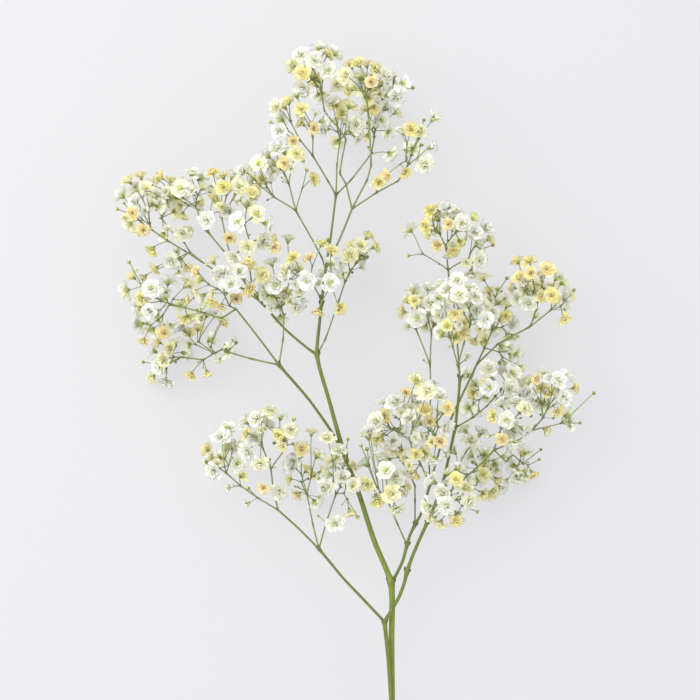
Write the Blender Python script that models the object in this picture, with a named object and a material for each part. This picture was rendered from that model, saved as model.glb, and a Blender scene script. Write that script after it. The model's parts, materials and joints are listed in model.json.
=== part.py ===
# A cut gypsophila stem lying on a surface. Millimetres are used while shaping, metres at the end.
# The stem lies along Y with the flowers towards +Y. Z is up, away from the surface.
import math
import random

import bmesh
import bpy
import numpy as np
from mathutils import Vector

# Driving dimensions, in millimetres
MM_PER_PIXEL = 0.6
VIEW_HEIGHT = 1226.7
VIEW_PLANE = 60.0
VIEW_MIDDLE = 350.0
STEM_RADIUS = 1.9
CUT_END_ROW = 915.0
BLOOM_RADIUS = 4.7
BLOOM_INNER = 2.5
BLOOM_DEPTH = 2.9
BLOOM_SPACE = 4.9
BUD_RADIUS = 1.15
TWIG_RADIUS = 0.45
PEDICEL_RADIUS = 0.42
ROOT_GAP = 0.35
TWIG_GAP = 0.45
FLOOR_BAND = 0.45
LOWEST_BLOOM = 5.0
FOOT_HEIGHT = 8.5
HIGHEST_BLOOM = 124.0
RELAX_ROUNDS = 420
PAIRS_EVERY = 12
PAIR_REACH = 9.0
HIDDEN_SHARE = 0.2
TWO_TIER_HEIGHT = 94.0
STALK_LEAST = 8.2
TWIG_LEAST = 4.6
TURN_LEAST = 0.45
TURN_SHARE = 0.25
FORK_SPREAD = 0.5
FORK_REACH = 6.0
STUB_CLEAR = 0.45
SEED = 41
# Side on which the dry scales of a joint show
SCALE_SIDE = np.array((0.8, 0.0, 0.6))

# Height of the main stem above the surface at rows of the photo
AXIS_ROWS = (-100.0, 195.0, 355.0, 459.0, 582.0, 700.0, 915.0)
AXIS_HEIGHTS = (58.0, 58.0, 56.0, 51.0, 38.0, 24.5, 1.9)

# Petal colours of the blooms: white, cream, lemon, apricot
W, C, Y, A = "white", "cream", "lemon", "apricot"
# A closed bud
B = "bud"

# Stems fused in one node: photo column, photo row, lift off the main stem's height, radius
STEMS = {
    "main": ((393, 915, 0, 1.9), (392.5, 768, 0, 1.95), (392, 700, 0, 1.9), (391.5, 640, 0, 1.8),
             (391, 582, 0, 1.85), (387, 571, 0, 1.65), (375, 543, 0, 1.6), (358, 491, 0, 1.45),
             (345, 456, 0, 1.4), (329, 400, 0, 1.15), (317, 355, 0, 1.15), (319.5, 323, 0, 0.9),
             (321.5, 304, 0, 0.9), (325.5, 270, 0, 0.8), (331, 235, 0, 0.68), (334, 211, 0, 0.62),
             (336, 195, 0, 0.62)),
    "second": ((392.5, 768, 0, 1.3), (391.8, 740, 3.4, 1.3), (391, 700, 4.6, 1.25), (388, 655, 4.8, 1.2),
               (384.5, 622, 5.2, 1.3)),
    "second_left": ((384.5, 622, 5.2, 1.0), (379, 616, 5.4, 0.85), (363, 599, 4, 0.85), (343, 578, 1, 0.8),
                    (329, 561, -2, 0.8), (319, 549, -4, 0.85)),
    "second_right": ((384.5, 622, 5.2, 1.2), (391, 611, 6.4, 1.1), (399, 597, 6.8, 1.05), (404, 584, 7, 1.05),
                     (407, 572, 7, 1.2), (411, 560, 7, 1.05), (418, 543, 8, 1.0), (427, 523, 9, 1.05),
                     (434, 507, 10, 0.95), (444, 478, 11, 0.9), (451, 447, 12, 0.85), (455, 428, 12, 0.9),
                     (458, 403, 12, 0.8), (460, 378, 12, 0.85)),
    "inner_right": ((391, 582, 0, 1.1), (396, 575, -1.5, 1.0), (403, 560, -4, 0.95), (407, 545, -6, 1.0),
                    (410, 535, -7, 0.85), (415, 525, -8, 0.95), (421, 514, -9, 0.8), (427, 495, -11, 0.8),
                    (430, 484, -12, 0.85)),
    "lower_left": ((345, 456, 0, 1.0), (333, 434, 2.5, 0.85), (310, 401, 6, 0.8), (279, 365, 9, 0.9)),
    "upper_left": ((317, 355, 0, 0.9), (306, 347, 1, 0.75), (285, 329, 3, 0.7), (262, 303, 5, 0.75),
                   (246, 284, 6, 0.6), (232, 261, 6, 0.6), (217, 243, 6, 0.5), (208, 232, 6, 0.55)),
}

# The stem and point that each of those stems springs from
STEM_ROOTS = {
    "second": ("main", 1), "second_left": ("second", 4), "second_right": ("second", 4),
    "inner_right": ("main", 4), "lower_left": ("main", 8), "upper_left": ("main", 10),
    "crown": ("main", 13), "shoulder": ("upper_left", 3), "low_middle": ("lower_left", 3),
    "low_left": ("second_left", 5), "outer_right": ("second_right", 8), "upper_right": ("inner_right", 8),
    "high_right": ("second_right", 13),
}

# Swollen joints of those stems with a pair of small dry scales: stem, point along it, swelling
JOINTS = (("main", 1, 1.35), ("main", 4, 1.35), ("main", 8, 1.25), ("main", 10, 1.35), ("main", 12, 1.4),
          ("main", 16, 1.5), ("second", 4, 1.4), ("second_left", 5, 1.5), ("second_right", 4, 1.35),
          ("second_right", 7, 1.25), ("second_right", 11, 1.3), ("second_right", 13, 1.45),
          ("inner_right", 3, 1.3), ("inner_right", 5, 1.4), ("inner_right", 8, 1.4),
          ("lower_left", 3, 1.5), ("upper_left", 3, 1.35), ("upper_left", 7, 1.4))

# One spray a node. Each has the stem point it springs from, its lift, its depth to each side,
# the forks as photo column, photo row and the fork before it (-1 is the root), hidden blooms added,
# and the blooms seen in the photo.
SPRAYS = {
    "spray_head_left": (("main", 16), 26, 16, ((328, 181, -1), (313, 156, 0), (300, 140, 1), (313, 138, 1)), 4, (
        (288, 101, Y), (301, 108, Y), (302, 123, A), (314, 128, A), (292, 141, A), (281, 118, W), (270, 122, B),
        (276, 108, C), (325, 124, W), (304, 162, B), (296, 93, W), (280, 131, W))),
    "spray_head_middle": (("main", 16), -4, 14, ((337, 165, -1), (340, 138, 0)), 4, (
        (337, 145, C), (353, 144, W), (342, 115, Y), (357, 125, W), (331, 102, W), (349, 104, C), (328, 140, W))),
    "spray_head_right": (("main", 16), -34, 18, ((351, 180, -1), (371, 154, 0), (372, 128, 1)), 6, (
        (369, 139, A), (380, 125, W), (391, 135, W), (375, 112, Y), (365, 108, Y), (398, 112, Y), (388, 108, W),
        (383, 98, A), (405, 105, W), (392, 155, W))),
    "spray_crown_left": (("crown", 2), 2, 18, ((346, 184, -1), (340, 174, 0), (346, 139, 1), (325, 112, 2),
                                                (319, 84, 3)), 8, (
        (292, 64, C), (305, 52, W), (320, 46, W), (314, 60, W), (327, 58, Y), (334, 52, W), (302, 75, Y),
        (307, 80, A), (335, 85, C), (318, 72, W), (322, 93, C), (329, 73, W), (309, 95, W), (299, 60, Y))),
    "spray_crown_middle": (("crown", 2), 18, 20, ((367, 180, -1), (371, 166, 0), (368, 110, 1)), 8, (
        (350, 65, Y), (358, 64, Y), (366, 66, Y), (344, 76, C), (354, 92, Y), (369, 94, Y), (385, 75, W),
        (393, 80, W), (403, 84, W), (377, 68, C), (362, 79, W), (372, 82, A), (388, 82, B), (413, 88, B),
        (396, 96, W), (381, 88, W))),
    "spray_crown_right": (("crown", 2), 34, 14, ((376, 193, -1), (398, 181, 0), (408, 164, 1)), 4, (
        (379, 182, Y), (386, 176, A), (404, 172, Y), (425, 165, W), (432, 147, W), (434, 118, W), (405, 130, W),
        (420, 145, B), (424, 120, B), (418, 131, C), (412, 150, W))),
    "spray_left_thin": (("main", 13), 28, 16, ((322, 258, -1), (296, 211, 0), (289, 184, 1), (302, 189, 1),
                                               (274, 197, 1)), 7, (
        (286, 152, W), (286, 163, Y), (266, 155, W), (258, 163, C), (243, 172, W), (262, 178, Y), (257, 190, A),
        (314, 179, Y), (273, 168, W), (277, 147, W), (251, 179, C), (296, 154, C), (307, 170, B))),
    "spray_collar": (("main", 12), 30, 12, ((320, 297, -1), (309, 280, 0), (331, 285, 0)), 4, (
        (303, 300, W), (310, 283, W), (318, 312, Y), (339, 308, Y), (330, 283, W), (322, 243, Y), (332, 250, Y),
        (309, 258, A), (332, 264, W), (292, 258, Y), (284, 272, W))),
    "spray_middle_right": (("main", 10), -16, 14, ((325, 340, -1), (339, 300, 0), (345, 282, 1)), 4, (
        (352, 247, Y), (361, 245, C), (375, 246, Y), (349, 256, C), (368, 237, Y), (357, 258, W), (340, 266, W),
        (367, 257, B), (331, 288, W), (328, 240, B))),
    "spray_ridge_tip": (("upper_left", 7), -8, 16, ((201, 222, -1), (196, 207, 0), (212, 214, 0)), 7, (
        (200, 203, A), (190, 173, W), (200, 177, W), (182, 190, C), (172, 190, Y), (182, 215, Y), (160, 177, Y),
        (209, 188, C), (150, 186, C), (191, 193, W), (165, 201, W), (215, 199, Y))),
    "spray_ridge_middle": (("upper_left", 5), 24, 14, ((226, 240, -1), (221, 216, 0)), 5, (
        (223, 175, Y), (223, 187, Y), (236, 199, C), (231, 243, A), (212, 172, Y), (233, 176, W), (241, 187, C),
        (210, 232, W), (229, 212, W))),
    "spray_ridge_right": (("upper_left", 3), 38, 14, ((252, 284, -1), (247, 243, 0), (243, 222, 1)), 6, (
        (247, 203, W), (257, 215, C), (262, 240, W), (275, 247, A), (246, 265, Y), (262, 275, C), (237, 222, W),
        (268, 226, W), (252, 192, Y), (233, 258, W), (248, 250, C))),
    "spray_far_left": (("shoulder", 2), 14, 16, ((185, 251, -1), (168, 241, 0), (150, 228, 1)), 6, (
        (120, 195, W), (124, 203, B), (139, 205, W), (132, 213, A), (144, 230, A), (152, 250, Y), (146, 188, C),
        (133, 192, W), (160, 213, C), (128, 180, C), (141, 176, Y), (117, 209, B))),
    "spray_left_shoulder": (("shoulder", 2), -22, 18, ((190, 252, -1), (176, 237, 0), (160, 217, 1)), 5, (
        (175, 210, C), (155, 269, Y), (144, 277, A), (172, 261, W), (187, 268, A), (163, 236, W), (155, 195, W),
        (170, 179, C), (183, 233, W), (171, 196, Y))),
    "spray_left_low": (("low_middle", 2), -12, 20, ((222, 318, -1), (205, 313, 0), (170, 305, 1)), 8, (
        (125, 290, W), (140, 298, Y), (148, 305, A), (163, 293, W), (180, 302, Y), (197, 300, Y), (183, 318, Y),
        (174, 326, W), (203, 310, W), (143, 341, Y), (140, 325, W), (164, 333, A), (132, 276, C), (156, 317, C),
        (129, 262, B), (137, 309, W), (168, 281, W), (187, 285, C), (151, 331, W))),
    "spray_left_inner": (("low_middle", 2), 30, 16, ((229, 306, -1), (223, 293, 0)), 6, (
        (237, 299, A), (220, 307, A), (213, 300, Y), (250, 290, Y), (221, 272, W), (203, 283, Y), (232, 283, W),
        (212, 260, C), (241, 272, W), (196, 272, A), (205, 295, W))),
    "spray_left_bottom": (("lower_left", 3), -34, 18, ((252, 359, -1), (228, 352, 0), (208, 338, 1),
                                                       (200, 360, 1), (178, 357, 3)), 8, (
        (204, 326, Y), (209, 343, W), (220, 329, W), (231, 328, Y), (222, 354, W), (174, 342, W), (187, 342, W),
        (198, 340, A), (165, 357, C), (176, 352, C), (152, 350, W), (191, 375, Y), (212, 372, A), (152, 379, C),
        (165, 382, W), (143, 362, B), (236, 343, B), (159, 366, W), (190, 358, W), (183, 330, W), (158, 342, Y))),
    "spray_inner_left": (("lower_left", 3), 12, 14, ((283, 340, -1), (283, 312, 0)), 6, (
        (281, 320, W), (270, 302, W), (284, 298, A), (276, 286, W), (262, 290, W), (296, 288, W), (291, 309, W),
        (300, 270, C), (288, 239, C), (271, 262, W), (297, 318, B))),
    "spray_low_left_tip": (("low_left", 2), -6, 18, ((258, 498, -1), (240, 486, 0), (226, 473, 1)), 7, (
        (206, 449, A), (213, 472, W), (229, 444, A), (221, 436, W), (231, 457, W), (244, 476, Y), (238, 463, W),
        (218, 460, C), (241, 446, C), (228, 428, W), (206, 462, B), (248, 488, B))),
    "spray_low_left_top": (("low_left", 2), 20, 16, ((272, 487, -1), (271, 469, 0), (261, 447, 1),
                                                     (283, 452, 1)), 7, (
        (245, 420, W), (246, 433, A), (248, 452, W), (260, 465, C), (264, 488, A), (281, 499, W), (280, 435, Y),
        (268, 425, W), (281, 416, W), (294, 419, B), (258, 440, W), (290, 430, C), (257, 418, W), (274, 445, B),
        (270, 410, C), (293, 444, B))),
    "spray_low_left_middle": (("second_left", 5), -28, 16, ((313, 525, -1), (307, 494, 0)), 7, (
        (315, 503, W), (298, 495, A), (289, 480, A), (293, 461, W), (308, 470, Y), (312, 432, C), (302, 446, W),
        (318, 455, W), (286, 466, W), (322, 472, C))),
    "spray_low_left_right": (("second_left", 5), 16, 14, ((326, 523, -1), (337, 492, 0)), 7, (
        (331, 464, C), (326, 486, W), (348, 506, Y), (335, 524, W), (353, 484, C), (353, 468, A), (327, 437, C),
        (342, 478, W), (348, 439, B), (339, 450, W), (357, 517, B), (318, 478, B))),
    "spray_centre_left": (("inner_right", 3), 16, 18, ((397, 523, -1), (387, 499, 0)), 8, (
        (376, 473, W), (377, 501, Y), (404, 487, A), (397, 510, W), (369, 431, W), (378, 455, W), (386, 470, W),
        (366, 484, C), (364, 463, W), (395, 478, W), (367, 449, B), (391, 494, C), (361, 445, B))),
    "spray_centre_rise": (("inner_right", 5), -26, 22, ((415, 500, -1), (415, 486, 0), (402, 461, 1),
                                                        (397, 430, 2)), 11, (
        (381, 414, A), (389, 422, Y), (385, 434, Y), (406, 392, A), (395, 401, W), (395, 451, C), (376, 421, W),
        (403, 411, W), (393, 441, W), (410, 402, W), (402, 433, W), (417, 382, C), (385, 401, W), (411, 446, W),
        (374, 441, C), (389, 460, W))),
    "spray_centre_top": (("inner_right", 8), 22, 20, ((419, 459, -1), (412, 436, 0), (431, 440, 0)), 9, (
        (419, 423, W), (423, 396, C), (432, 425, A), (440, 441, A), (434, 461, W), (416, 452, Y), (423, 408, Y),
        (409, 420, W), (427, 448, W), (436, 409, B), (443, 413, B), (447, 407, Y), (441, 396, W), (431, 385, W),
        (446, 428, W), (424, 474, B), (416, 474, Y))),
    "spray_low_right": (("second_right", 8), 40, 14, ((437, 502, -1), (450, 502, 0)), 7, (
        (439, 520, C), (456, 520, Y), (443, 493, W), (456, 479, Y), (470, 501, W), (450, 511, W), (426, 507, W),
        (466, 488, C), (459, 466, W), (478, 512, B), (432, 481, W))),
    "spray_right_low": (("second_right", 9), -24, 22, ((455, 470, -1), (470, 487, 0), (481, 470, 0)), 9, (
        (497, 479, A), (492, 493, C), (486, 456, W), (471, 440, W), (453, 451, W), (506, 456, W), (480, 478, W),
        (483, 466, Y), (466, 456, W), (484, 496, C), (464, 429, W), (481, 433, W), (474, 463, B), (496, 466, W),
        (502, 490, W))),
    "spray_right_fan": (("outer_right", 3), 26, 16, ((503, 428, -1), (515, 418, 0)), 7, (
        (512, 403, W), (526, 408, C), (522, 430, W), (502, 440, A), (493, 414, Y), (531, 416, B), (504, 419, W),
        (515, 443, W), (489, 436, B), (499, 404, W), (510, 431, W))),
    "spray_right_tip": (("outer_right", 3), 2, 16, ((517, 441, -1), (536, 429, 0), (543, 418, 1),
                                                    (560, 424, 1)), 9, (
        (542, 406, W), (557, 409, Y), (549, 391, Y), (554, 380, W), (537, 380, A), (575, 387, Y), (594, 393, B),
        (538, 434, Y), (564, 398, W), (532, 395, W), (545, 372, W), (560, 389, W), (568, 416, C), (566, 376, W),
        (580, 423, B), (528, 386, C))),
    "spray_right_under": (("outer_right", 3), -28, 14, ((506, 462, -1), (513, 453, 0), (519, 464, 1)), 4, (
        (516, 478, W), (533, 474, Y), (527, 445, Y), (539, 459, B), (539, 447, B), (511, 466, W), (524, 459, W))),
    "spray_right_middle": (("second_right", 11), -8, 18, ((472, 418, -1), (487, 406, 0), (498, 393, 1)), 8, (
        (476, 395, Y), (494, 387, Y), (511, 388, C), (488, 370, W), (512, 372, W), (467, 408, W), (481, 384, W),
        (502, 378, W), (477, 410, W), (466, 375, W), (521, 392, W), (505, 398, W))),
    "spray_upper_left_rise": (("inner_right", 8), -16, 18, ((428, 440, -1), (431, 392, 0), (430, 365, 1),
                                                            (417, 330, 2), (431, 332, 2)), 9, (
        (402, 312, Y), (414, 301, Y), (423, 313, W), (440, 316, W), (428, 288, W), (413, 290, W), (431, 303, W),
        (421, 298, W), (417, 318, W), (407, 300, C), (440, 298, B), (438, 330, W), (444, 304, W), (426, 327, C))),
    "spray_upper_stalks": (("second_right", 13), 32, 20, ((458, 366, -1), (453, 344, 0), (464, 343, 0),
                                                          (470, 325, 2)), 11, (
        (464, 323, A), (455, 314, Y), (446, 327, Y), (459, 294, W), (467, 302, W), (452, 300, W), (447, 288, W),
        (476, 312, W), (485, 309, C), (470, 289, W), (440, 283, W), (457, 280, W), (479, 325, C), (441, 340, B),
        (475, 297, W), (463, 340, Y), (486, 320, W))),
    "spray_upper_right": (("upper_right", 2), -30, 22, ((484, 348, -1), (492, 330, 0), (498, 352, 0)), 11, (
        (495, 330, W), (505, 316, Y), (489, 290, Y), (519, 298, W), (508, 335, C), (497, 300, W), (484, 340, Y),
        (507, 305, Y), (520, 368, Y), (504, 350, W), (483, 279, C), (507, 278, B), (512, 324, W), (480, 333, W),
        (499, 366, W), (515, 355, W), (492, 313, W), (475, 342, Y))),
    "spray_far_right": (("upper_right", 2), 12, 18, ((498, 344, -1), (530, 327, 0), (537, 310, 1),
                                                     (551, 309, 1)), 11, (
        (517, 260, Y), (529, 260, Y), (541, 276, A), (547, 269, Y), (557, 277, C), (564, 283, C), (541, 297, Y),
        (560, 299, W), (564, 319, Y), (574, 290, B), (518, 336, B), (531, 273, Y), (524, 287, W), (552, 287, W),
        (519, 277, Y), (536, 287, C), (549, 303, Y), (530, 303, W), (512, 288, A))),
    "spray_top_right": (("high_right", 3), 6, 18, ((448, 270, -1), (423, 254, 0), (446, 247, 0), (470, 258, 0)), 9, (
        (408, 229, W), (430, 211, Y), (437, 217, C), (447, 208, W), (456, 211, W), (473, 218, Y), (425, 225, Y),
        (429, 232, Y), (449, 224, A), (440, 246, A), (460, 242, Y), (475, 231, W), (477, 247, W), (489, 239, A),
        (480, 260, W), (470, 274, W), (464, 223, W), (438, 207, W), (461, 220, B), (408, 256, B), (466, 234, C),
        (486, 228, W), (451, 251, Y), (493, 245, B))),
}

# Thin stems that carry sprays and are fused in the node of the fused stems
BRANCHES = {
    "crown": (("main", 13), (341, 236, 3, 0.6), (352, 209, 6, 0.6)),
    "shoulder": (("upper_left", 3), (234, 283, 0, 0.5), (202, 262, -2, 0.5)),
    "low_middle": (("lower_left", 3), (258, 337, 12, 0.6), (236, 309, 12, 0.55)),
    "low_left": (("second_left", 5), (297, 527, -4, 0.62), (278, 510, -4, 0.62)),
    "outer_right": (("second_right", 8), (458, 484, 4, 0.6), (482, 463, 2, 0.6), (494, 450, 1, 0.6)),
    "upper_right": (("inner_right", 8), (445, 433, -6, 0.65), (477, 364, -4, 0.65)),
    "high_right": (("second_right", 13), (457, 340, 0, 0.55), (454, 305, -4, 0.5), (449, 277, -6, 0.5)),
}


def axis_height(row):
    return float(np.interp(row, AXIS_ROWS, AXIS_HEIGHTS))


def place(column, row, height):
    # The photo looks straight down: higher things look larger, so they are set nearer the middle
    scale = MM_PER_PIXEL * (VIEW_HEIGHT - height) / (VIEW_HEIGHT - VIEW_PLANE)
    return np.array(((column - VIEW_MIDDLE) * scale, (VIEW_MIDDLE - row) * scale, height))


def unit(vector):
    return vector / max(np.linalg.norm(vector), 1e-9)


def stem_paths():
    # Points and radii of every fused stem, thin branches too
    paths = {}
    for name, rows in STEMS.items():
        points = [place(c, r, axis_height(r) + lift) for c, r, lift, _ in rows]
        paths[name] = (points, [radius for *_, radius in rows])
    for name, (root, *rows) in BRANCHES.items():
        start = paths[root[0]][0][root[1]]
        points = [start] + [place(c, r, axis_height(r) + lift) for c, r, lift, _ in rows]
        radii = [rows[0][3]] + [radius for *_, radius in rows]
        paths[name] = (points, radii)
    return paths


class Tree:
    # Points of all sprays together: place, parent, kind, spray and colour
    def __init__(self):
        self.place = []
        self.parent = []
        self.kind = []
        self.spray = []
        self.colour = []

    def add(self, place, parent, kind, spray, colour=""):
        self.place.append(np.array(place, dtype=float))
        self.parent.append(parent)
        self.kind.append(kind)
        self.spray.append(spray)
        self.colour.append(colour)
        return len(self.place) - 1


def spray_blooms(name, spray, rng):
    # Blooms read off the photo get a depth by a domed rule, and hidden ones are drawn between them
    _, lift, depth, _, hidden, seen = spray
    middle = np.mean([(c, r) for c, r, _ in seen], axis=0)
    reach = max(math.hypot(c - middle[0], r - middle[1]) for c, r, _ in seen)
    blooms = []
    for number, (column, row, colour) in enumerate(seen):
        out = math.hypot(column - middle[0], row - middle[1]) / reach
        dome = math.sqrt(max(0.0, 1.0 - 0.75 * out * out))
        turn = (number * 0.618034 + rng.random() * 0.12) % 1.0
        offset = (2.0 * turn - 1.0) * depth * dome
        blooms.append((column, row, axis_height(row) + lift + offset, colour))
    for number in range(round(hidden * HIDDEN_SHARE)):
        first = rng.choice(seen)
        near = sorted(seen, key=lambda b: math.hypot(b[0] - first[0], b[1] - first[1]))[1:4]
        second = rng.choice(near)
        share = rng.uniform(0.3, 0.7)
        column = first[0] + (second[0] - first[0]) * share + rng.uniform(-3, 3)
        row = first[1] + (second[1] - first[1]) * share + rng.uniform(-3, 3)
        side = -1.0 if rng.random() < 0.7 else 1.0
        offset = side * rng.uniform(0.5, 1.05) * depth
        colour = rng.choice((W, W, W, C, C, Y, A))
        blooms.append((column, row, axis_height(row) + lift + offset, colour))
    return blooms


def split_items(origin, items, places):
    # Two or three groups of neighbours by direction from the fork
    directions = np.array([unit(places[i] - origin) for i in items])
    centre = unit(directions.mean(axis=0))
    spread = directions - np.outer(directions @ centre, centre)
    _, _, axes = np.linalg.svd(spread - spread.mean(axis=0))
    flat = spread @ axes[:2].T
    if len(items) <= 4:
        order = np.argsort(flat[:, 0])
        half = len(items) // 2
        groups = [order[:half], order[half:]]
    else:
        angle = np.arctan2(flat[:, 1], flat[:, 0])
        order = np.argsort(angle)
        gaps = np.diff(np.append(angle[order], angle[order[0]] + 2 * math.pi))
        start = (int(np.argmax(gaps)) + 1) % len(order)
        order = np.roll(order, -start)
        third = len(order) / 3.0
        groups = [order[:round(third)], order[round(third):round(2 * third)], order[round(2 * third):]]
    return [[items[i] for i in group] for group in groups if len(group)]


def grow(tree, places, subtree, node, items, spray):
    # Items are blooms, as numbers, or forks read off the photo. At most three leave a fork.
    if len(items) <= 3:
        groups = [[item] for item in items]
    else:
        groups = split_items(tree.place[node], items, places)
    for group in groups:
        if len(group) == 1:
            item = group[0]
            if item[0] == "bloom":
                kind = "bud" if item[2] == B else "bloom"
                tree.add(places[item], node, kind, spray, item[2])
            else:
                fork = tree.add(places[item], node, "fork", spray)
                grow(tree, places, subtree, fork, subtree[item], spray)
            continue
        centre = np.mean([places[i] for i in group], axis=0)
        reach = centre - tree.place[node]
        nearest = min(np.linalg.norm(places[i] - tree.place[node]) for i in group)
        share = min(0.52, 0.62 * nearest / max(np.linalg.norm(reach), 1e-6))
        fork = tree.add(tree.place[node] + reach * share, node, "fork", spray)
        grow(tree, places, subtree, fork, group, spray)


def layout(paths):
    tree = Tree()
    rng = random.Random(SEED)
    for name, spray in SPRAYS.items():
        root, _, _, forks, _, _ = spray
        blooms = spray_blooms(name, spray, rng)
        stem = paths[root[0]][0]
        start = stem[root[1]]
        mean = np.mean([place(c, r, h) for c, r, h, _ in blooms], axis=0)
        places = {}
        for number, (column, row, height, colour) in enumerate(blooms):
            height = min(max(height, LOWEST_BLOOM), HIGHEST_BLOOM)
            places[("bloom", number, colour)] = place(column, row, height)
        keys = []
        for number, (column, row, before) in enumerate(forks):
            flat = place(column, row, start[2])
            share = np.linalg.norm((flat - start)[:2]) / max(np.linalg.norm((mean - start)[:2]), 1.0)
            height = start[2] + (mean[2] - start[2]) * min(share, 1.0)
            key = ("fork", number, before)
            places[key] = place(column, row, height)
            keys.append(key)
        subtree = {key: [] for key in keys}
        top = []
        for key in keys:
            if key[2] < 0:
                top.append(key)
            else:
                subtree[keys[key[2]]].append(key)
        for bloom in [key for key in places if key[0] == "bloom"]:
            best = None
            for key in keys:
                base = start if key[2] < 0 else places[keys[key[2]]]
                inwards = unit(places[key] - base)
                away = places[bloom] - places[key]
                distance = np.linalg.norm(away)
                ahead = float(away @ inwards) / max(distance, 1e-6)
                leaf = 0.0 if not subtree[key] or all(s[0] == "bloom" for s in subtree[key]) else 9.0
                cost = distance * (1.35 - 0.5 * ahead) + leaf
                if best is None or cost < best[0]:
                    best = (cost, key)
            subtree[best[1]].append(bloom)
        node = tree.add(start, -1, "root", name)
        grow(tree, places, subtree, node, top, name)
    return tree


def closest_on_segments(p0, p1, q0, q1):
    # Shares along both segments at their closest points, for arrays of pairs
    d1 = p1 - p0
    d2 = q1 - q0
    r = p0 - q0
    a = np.einsum("ij,ij->i", d1, d1) + 1e-9
    e = np.einsum("ij,ij->i", d2, d2) + 1e-9
    f = np.einsum("ij,ij->i", d2, r)
    c = np.einsum("ij,ij->i", d1, r)
    b = np.einsum("ij,ij->i", d1, d2)
    denominator = a * e - b * b
    s = np.where(denominator > 1e-9, (b * f - c * e) / np.maximum(denominator, 1e-9), 0.0)
    s = np.clip(s, 0.0, 1.0)
    t = np.clip((b * s + f) / e, 0.0, 1.0)
    s = np.clip((b * t - c) / a, 0.0, 1.0)
    return s, t


def near_pairs(middle_a, half_a, middle_b, half_b, reach):
    # Pairs of pieces whose middles are close enough to touch soon
    gap = np.linalg.norm(middle_a[:, None, :] - middle_b[None, :, :], axis=2)
    return np.where(gap < half_a[:, None] + half_b[None, :] + reach)


def push_apart(move, gap, lack, share, first, second=None):
    # Both ends of each piece move by their share of the push
    distance = np.linalg.norm(gap, axis=1)
    hit = lack > 0
    push = gap[hit] / np.maximum(distance[hit], 1e-6)[:, None] * lack[hit][:, None] * share
    for sign, ends in ((1.0, first), (-1.0, second)):
        if ends is None:
            continue
        low, high, along = ends
        along = along[hit][:, None]
        np.add.at(move, high[hit], sign * push * along)
        np.add.at(move, low[hit], sign * push * (1.0 - along))


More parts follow.
